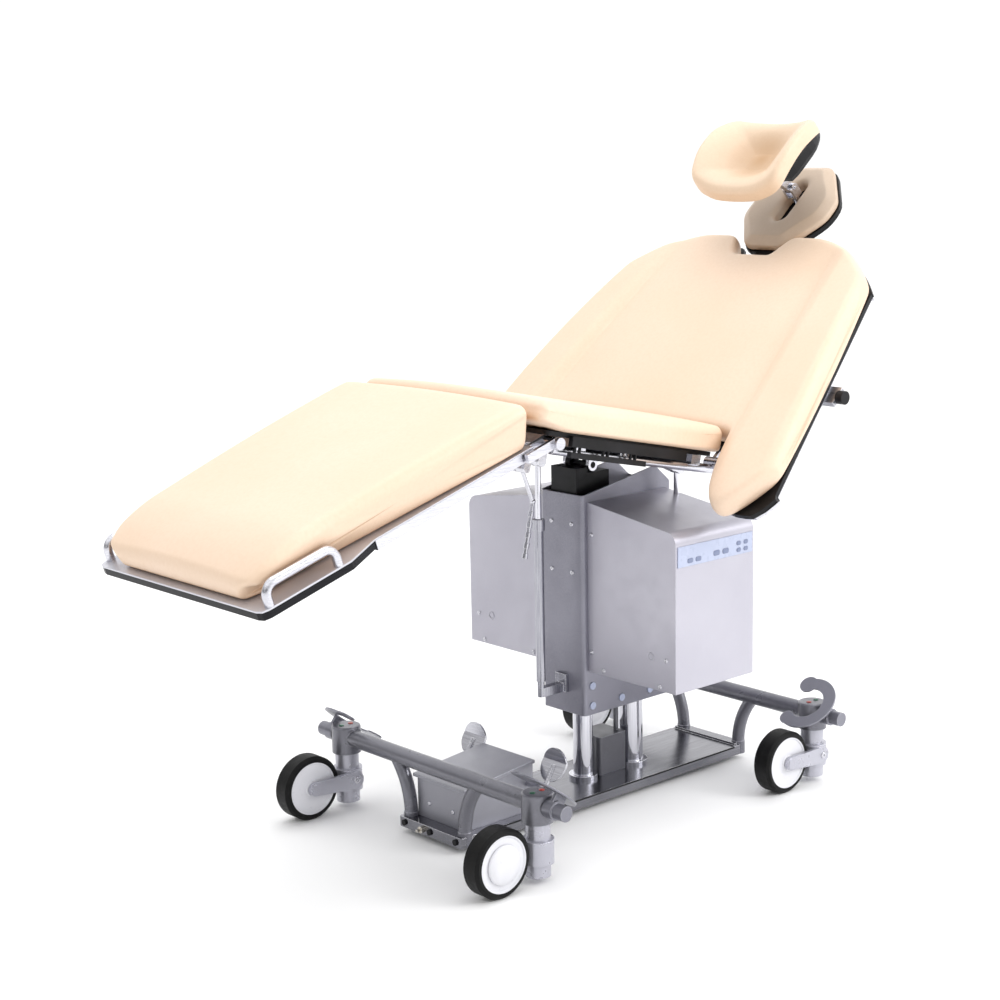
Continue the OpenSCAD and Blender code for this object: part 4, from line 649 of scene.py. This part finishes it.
# Headrest: a dished pad whose sides rise
REST_HALF, REST_LEN, REST_LIFT, REST_CORNER = 0.125, 0.105, 0.0091, 0.019
REST_T, REST_EDGE, RIM_FULL = 0.026, 0.014, 0.007
WING_UP, END_DROP, DISH, DISH_RIM = 0.034, 0.008, 0.027, 0.98
rest_corners = [(0.5, -1), (0.92, -0.85), (1, -0.3), (1, 0.45), (0.85, 0.92), (0.3, 1),
                (-0.3, 1), (-0.85, 0.92), (-1, 0.45), (-1, -0.3), (-0.92, -0.85), (-0.5, -1)]
rest_line = softened([(x * REST_HALF, y * REST_LEN) for x, y in rest_corners], REST_CORNER, 4, 3)


def saddle(x, y):
    """Height of the headrest's middle surface: both sides rise and both ends fall."""
    a, b = (x / REST_HALF) ** 2, (y / REST_LEN) ** 2
    return WING_UP * a * (1 - b / 2) - END_DROP * b


def rest_height(x, y):
    """Thickness of the headrest's rim, fuller at both sides."""
    return REST_T + RIM_FULL * (x / REST_HALF) ** 2


def inwards(line, distance):
    """Closed line moved inwards by a distance."""
    way = np.roll(line, -1, 0) - np.roll(line, 1, 0)
    way /= np.linalg.norm(way, axis=1)[:, None]
    return line + distance * np.stack([-way[:, 1], way[:, 0]], 1)


SKIRT_IN, SKIRT_DROP = 0.0022, 0.0075
inner = inwards(rest_line, REST_EDGE)
under = inwards(rest_line, SKIRT_IN)
rest_rings = [[[*p, saddle(*p)] for p in under * s] for s in np.linspace(0.02, 1, 9)]
for line, drop in ((under, 0.5), (under, 0.9), (inwards(rest_line, SKIRT_IN / 2), 1), (rest_line, 0.8)):
    rest_rings.append([[*p, saddle(*p) - drop * SKIRT_DROP] for p in line])
for turn in np.radians(np.linspace(-10, 78, 9)):
    ring = inwards(rest_line, REST_EDGE * (1 - math.cos(turn)))
    rest_rings.append([[*p, saddle(*p) + rest_height(*p) * (0.4 + 0.6 * math.sin(turn))] for p in ring])
for s in np.linspace(DISH_RIM, 0.02, 16):
    sunk = DISH * float(smoothstep((DISH_RIM - s) / 0.8))
    rest_rings.append([[*p, saddle(*p) + rest_height(*p) - sunk] for p in inner * s])
rest = lofted("head_cradle", rest_rings, "rest_cushion",
              at_rest @ Matrix.Translation((0, -REST_BACK, REST_UP + REST_LIFT)))
cushion_piece(rest, "rest_cushion", "rest")

# Small fittings
TURN_STEPS, SHARP_ANGLE = 24, 35


def faced(place, axis):
    """Frame at a place whose Z points along an axis."""
    return Matrix.Translation(place) @ Vector(axis).to_track_quat("Z", "Y").to_matrix().to_4x4()


def turned_rings(profile, hexagon):
    """Rings [r, z] about Z; the first ones follow a hexagon, for a socket."""
    angles = np.linspace(0, 2 * np.pi, TURN_STEPS, endpoint=False)
    flat = math.cos(math.pi / 6) / np.cos((angles % (math.pi / 3)) - math.pi / 6)
    rings = []
    for i, (r, z) in enumerate(profile):
        form = flat if i < hexagon else 1
        rings.append(np.stack([r * np.cos(angles) * form, r * np.sin(angles) * form, np.full(TURN_STEPS, z)], 1))
    return rings


def tube_faces(start, rings, n):
    """Faces of a closed form through rings of n points each, whose first point has the number start."""
    faces = []
    for first in range(start, start + (rings - 1) * n, n):
        faces += [(first + j, first + (j + 1) % n, first + n + (j + 1) % n, first + n + j) for j in range(n)]
    last = start + (rings - 1) * n
    return faces + [tuple(range(start + n - 1, start - 1, -1)), tuple(range(last, last + n))]


def fittings(name, kind, body, profile, spots, hexagon=0):
    """One piece made of equal turned parts, each at a place and facing along an axis."""
    points, faces = [], []
    for place, axis in spots:
        at = faced(place, axis)
        faces += tube_faces(len(points), len(profile), TURN_STEPS)
        points += [at @ Vector(q) for ring in turned_rings(profile, hexagon) for q in ring]
    piece = mesh_piece(name, points, faces, kind)
    outward(piece)
    piece.data.set_sharp_from_angle(angle=math.radians(SHARP_ANGLE))
    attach(piece, body)


for name, rough, tone, worn, grain, strength in (
        ("key_blue", 0.34, srgb(118, 128, 158), srgb(150, 160, 186), 800, 0.05),
        ("mark_red", 0.35, srgb(150, 42, 34), srgb(176, 74, 62), 700, 0.06),
        ("mark_green", 0.35, srgb(30, 92, 66), srgb(66, 124, 98), 700, 0.06)):
    finishes[name] = moulded(name, rough, tone, worn, grain, strength, Coat_Weight=0.3)

COVER_FRONT, BOX_FRONT, BOX_SIDE, STRIP_T = -0.051, -0.038, 0.2895, 0.0015
SCREW = [(0.0014, 0.0006), (0.0018, 0.0019), (0.0030, 0.0021), (0.0040, 0.0017), (0.0046, 0.0008),
         (0.0048, 0), (0.0044, -0.0004)]
FRONT = (0, -1, 0)
fittings("cover_screws", "rail_steel", "carriage", SCREW,
         [((x, COVER_FRONT, z), FRONT) for x in (-0.028, 0.028) for z in (0.558, 0.463)], 2)
fittings("box_screws", "rail_steel", "carriage", SCREW,
         [((side * x, BOX_FRONT, z), FRONT) for side in (-1, 1)
          for x, z in ((0.069, 0.541), (0.067, 0.309), (0.265, 0.330), (0.100, 0.278), (0.249, 0.277))], 2)
RING = [(0.0058, 0.0001), (0.0062, 0.0008), (0.0078, 0.0010), (0.0084, 0.0006), (0.0086, -0.0004)]
fittings("box_rings", "silver_paint", "carriage", RING,
         [((side * 0.226, BOX_FRONT, 0.331), FRONT) for side in (-1, 1)])

BOLT = [(0.0022, 0.0008), (0.0028, 0.0030), (0.0046, 0.0033), (0.0062, 0.0026), (0.0070, 0.0012),
        (0.0072, 0), (0.0068, -0.0004)]
CASTOR_X, CASTOR_Y, ARM_OUT, ARM_Z = 0.276, 0.377, 0.0295, 0.058
# Each castor with the ways it lies from the middle and the side its one arm is on
CASTORS = (("front_near", 1, -1, -1), ("front_far", -1, -1, 1), ("rear_near", 1, 1, 1), ("rear_far", -1, 1, -1))
for corner, x, y, side in CASTORS:
    fittings("arm_bolt_" + corner, "rail_steel", "yoke_" + corner, BOLT,
             [((x * CASTOR_X + side * ARM_OUT, y * CASTOR_Y, ARM_Z), (side, 0, 0))], 2)
# The caps cover the hub's open face and the axle's head, away from the arm
TRAIL, WHEEL_Z, CAP_PROUD = 0.097, 0.0625, 0.0008
for corner, x, y, side in CASTORS:
    end = int(side < 0)
    face, head_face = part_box("hub_" + corner)[end][0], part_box("yoke_" + corner)[end][0]
    proud = abs(head_face - face) + CAP_PROUD
    fittings("hub_cap_" + corner, "hub", "wheel_" + corner,
             [(0.036, -0.0006), (0.0355, 0.3 * proud), (0.030, 0.75 * proud), (0.018, proud), (0.006, proud)],
             [((face, y * CASTOR_Y - TRAIL, WHEEL_Z), (-side, 0, 0))])
PEDAL_FRONT = -0.368
fittings("pedal_box_screws", "rail_steel", "base", SCREW,
         [((x, PEDAL_FRONT, 0.062), FRONT) for x in (-0.034, 0.034)], 2)
DOT = [(0.0052, -0.0004), (0.0052, 0.0009), (0.0045, 0.0015), (0.0020, 0.0019)]
HOUSING_TOP, MARK_APART = 0.165, 0.011
for tone, shift in (("red", -MARK_APART), ("green", MARK_APART)):
    fittings("brake_mark_" + tone, "mark_" + tone, "base", DOT,
             [((x * CASTOR_X, y * (CASTOR_Y + shift), HOUSING_TOP), (0, 0, 1))
              for x in (-1, 1) for y in (-1, 1)])


def rounded_key(place, wide, high, thick, radius):
    """Rings of a raised key on the near face, from its foot to its crowned top."""
    corners = [(sy * (wide / 2 - radius), sz * (high / 2 - radius), start)
               for sy, sz, start in ((1, 1, 0), (-1, 1, 90), (-1, -1, 180), (1, -1, 270))]
    line = np.array([(cy + radius * math.cos(math.radians(a)), cz + radius * math.sin(math.radians(a)))
                     for cy, cz, start in corners for a in np.linspace(start, start + 90, KEY_STEPS)])
    return [[(place[0] + h, place[1] + y, place[2] + z) for y, z in line * k]
            for h, k in ((-0.0004, 1.02), (thick * 0.7, 1), (thick, 0.93), (thick * 1.15, 0.5))]


KEY_T, KEY_CORNER, KEY_STEPS = 0.0010, 0.0035, 5
key_faces, key_points = [], []
for y, z, wide, high in ((0.000, 0.519, 0.015, 0.009), (0.022, 0.519, 0.015, 0.009), (0.072, 0.522, 0.017, 0.010),
                         (0.097, 0.522, 0.017, 0.010), (0.134, 0.531, 0.012, 0.008), (0.134, 0.518, 0.012, 0.008),
                         (0.154, 0.531, 0.012, 0.008), (0.154, 0.518, 0.012, 0.008)):
    key_rings = rounded_key((BOX_SIDE + STRIP_T, y, z), wide, high, KEY_T, KEY_CORNER)
    key_faces += tube_faces(len(key_points), len(key_rings), len(key_rings[0]))
    key_points += [q for ring in key_rings for q in ring]
keys = mesh_piece("soft_keys", key_points, key_faces, "key_blue")
outward(keys)
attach(keys, "carriage")

# Floor, light and camera
FLOOR_HALF = 30
SKY_STRENGTH, BACKDROP_STRENGTH = 1.26, 1.05


def floor_paint():
    """Near-white matt floor."""
    made = Finish("pale_floor", 0.75, Specular_IOR_Level=0.05)
    made.coloured(made.mottled(made.noise(0.8, 2), 0.3, 0.7, srgb(252, 252, 252), srgb(250, 250, 250)))
    made.bumped(made.noise(90, 3), 0.02, 0.0003)
    return made.material


finishes["floor"] = floor_paint()
floor = mesh_piece("floor", [(x * FLOOR_HALF, y * FLOOR_HALF, 0) for x, y in ((-1, -1), (1, -1), (1, 1), (-1, 1))],
                   [(0, 1, 2, 3)], "floor", smooth=False)

world = bpy.data.worlds.new("studio")
world.use_nodes = True
bpy.context.scene.world = world
sky = world.node_tree
background = sky.nodes["Background"]
direction = sky.nodes.new("ShaderNodeTexCoord").outputs["Generated"]
parts = sky.nodes.new("ShaderNodeSeparateXYZ")
sky.links.new(direction, parts.inputs[0])


def level_share(x, y):
    """0 to 1 for how far a direction leans along a level direction."""
    lean = math_output(sky, "ADD", math_output(sky, "MULTIPLY", parts.outputs["X"], x),
                       math_output(sky, "MULTIPLY", parts.outputs["Y"], y))
    return math_output(sky, "ADD", math_output(sky, "MULTIPLY", lean, 0.5), 0.5)


def tone_ramp(value, stops):
    """Grey tones at stops of a value; the first two stops are its ends."""
    ramp = sky.nodes.new("ShaderNodeValToRGB")
    elements = ramp.color_ramp.elements
    for index, (stop, tone) in enumerate(stops):
        made = elements[index] if index < 2 else elements.new(stop)
        made.position = stop
        made.color = (tone, tone, tone * 1.005, 1)
    sky.links.new(value, ramp.inputs[0])
    return ramp.outputs[0]


# White above and behind the table; low on the viewer's side, dark and pale bands that the metal mirrors
SIDE_X, SIDE_Y = -0.714, 0.676
bands = tone_ramp(level_share(SIDE_Y, -SIDE_X),
                  ((0.0, 0.30), (1.0, 1.0), (0.10, 0.18), (0.24, 0.55), (0.34, 0.14), (0.50, 0.08), (0.60, 0.50),
                   (0.70, 0.22), (0.80, 0.80), (0.90, 1.0)))
high = tone_ramp(parts.outputs["Z"], ((0.0, 0.0), (0.58, 1.0), (0.28, 0.12)))
behind = tone_ramp(level_share(SIDE_X, SIDE_Y), ((0.60, 0.0), (0.84, 1.0)))
open_sky = sky.nodes.new("ShaderNodeMix")
open_sky.data_type = "RGBA"
sky.links.new(math_output(sky, "MAXIMUM", high, behind), open_sky.inputs[0])
sky.links.new(bands, open_sky.inputs[6])
open_sky.inputs[7].default_value = (1.0, 1.0, 1.0, 1)
sky.links.new(open_sky.outputs[2], background.inputs["Color"])
background.inputs["Strength"].default_value = SKY_STRENGTH

# The backdrop itself is plain white; the bands are only mirrored
backdrop = sky.nodes.new("ShaderNodeBackground")
backdrop.inputs["Color"].default_value = (1, 1, 1, 1)
backdrop.inputs["Strength"].default_value = BACKDROP_STRENGTH
seen = sky.nodes.new("ShaderNodeMixShader")
sky.links.new(sky.nodes.new("ShaderNodeLightPath").outputs["Is Camera Ray"], seen.inputs[0])
sky.links.new(background.outputs[0], seen.inputs[1])
sky.links.new(backdrop.outputs[0], seen.inputs[2])
sky.links.new(seen.outputs[0], sky.nodes["World Output"].inputs["Surface"])


def soft_light(name, place, target, size, power):
    """White area light that looks at a target."""
    light = bpy.data.lights.new(name, "AREA")
    light.shape, light.size, light.size_y = "RECTANGLE", size[0], size[1]
    light.energy = power
    made = bpy.data.objects.new(name, light)
    bpy.context.scene.collection.objects.link(made)
    made.location = place
    made.rotation_euler = (Vector(target) - Vector(place)).to_track_quat("-Z", "Y").to_euler()


soft_light("key", place=(4.2, 2.4, 3.0), target=(0, 0, 0.7), size=(2.2, 2.2), power=95)
soft_light("top", place=(-0.4, 0.2, 4.6), target=(0, 0, 0.6), size=(3.4, 3.4), power=60)

# Camera, as solved from the photograph
AZIMUTH, ELEVATION, ROLL = 46.56, 10.58, -0.71
CAMERA_PLACE = (2.6048, -2.4942, 1.2836)
FOCAL_PX, CENTRE_PX, FRAME_PX = 1888.57, (569.97, 492.32), 1000
SENSOR = 36
camera_data = bpy.data.cameras.new("photo_view")
camera_data.sensor_width = SENSOR
camera_data.lens = SENSOR * FOCAL_PX / FRAME_PX
camera_data.shift_x = (FRAME_PX / 2 - CENTRE_PX[0]) / FRAME_PX
camera_data.shift_y = (CENTRE_PX[1] - FRAME_PX / 2) / FRAME_PX
camera_data.clip_end = 200
camera = bpy.data.objects.new("photo_view", camera_data)
bpy.context.scene.collection.objects.link(camera)
az, el, roll = (math.radians(a) for a in (AZIMUTH, ELEVATION, ROLL))
away = Vector((math.sin(az) * math.cos(el), -math.cos(az) * math.cos(el), math.sin(el)))
level = Vector((math.cos(az), math.sin(az), 0))
rise = away.cross(level)
right = math.cos(roll) * level + math.sin(roll) * rise
above = -math.sin(roll) * level + math.cos(roll) * rise
turn = Matrix((right, above, away)).transposed().to_4x4()
camera.matrix_world = Matrix.Translation(CAMERA_PLACE) @ turn
bpy.context.scene.camera = camera
bpy.context.scene.view_settings.view_transform = "Standard"
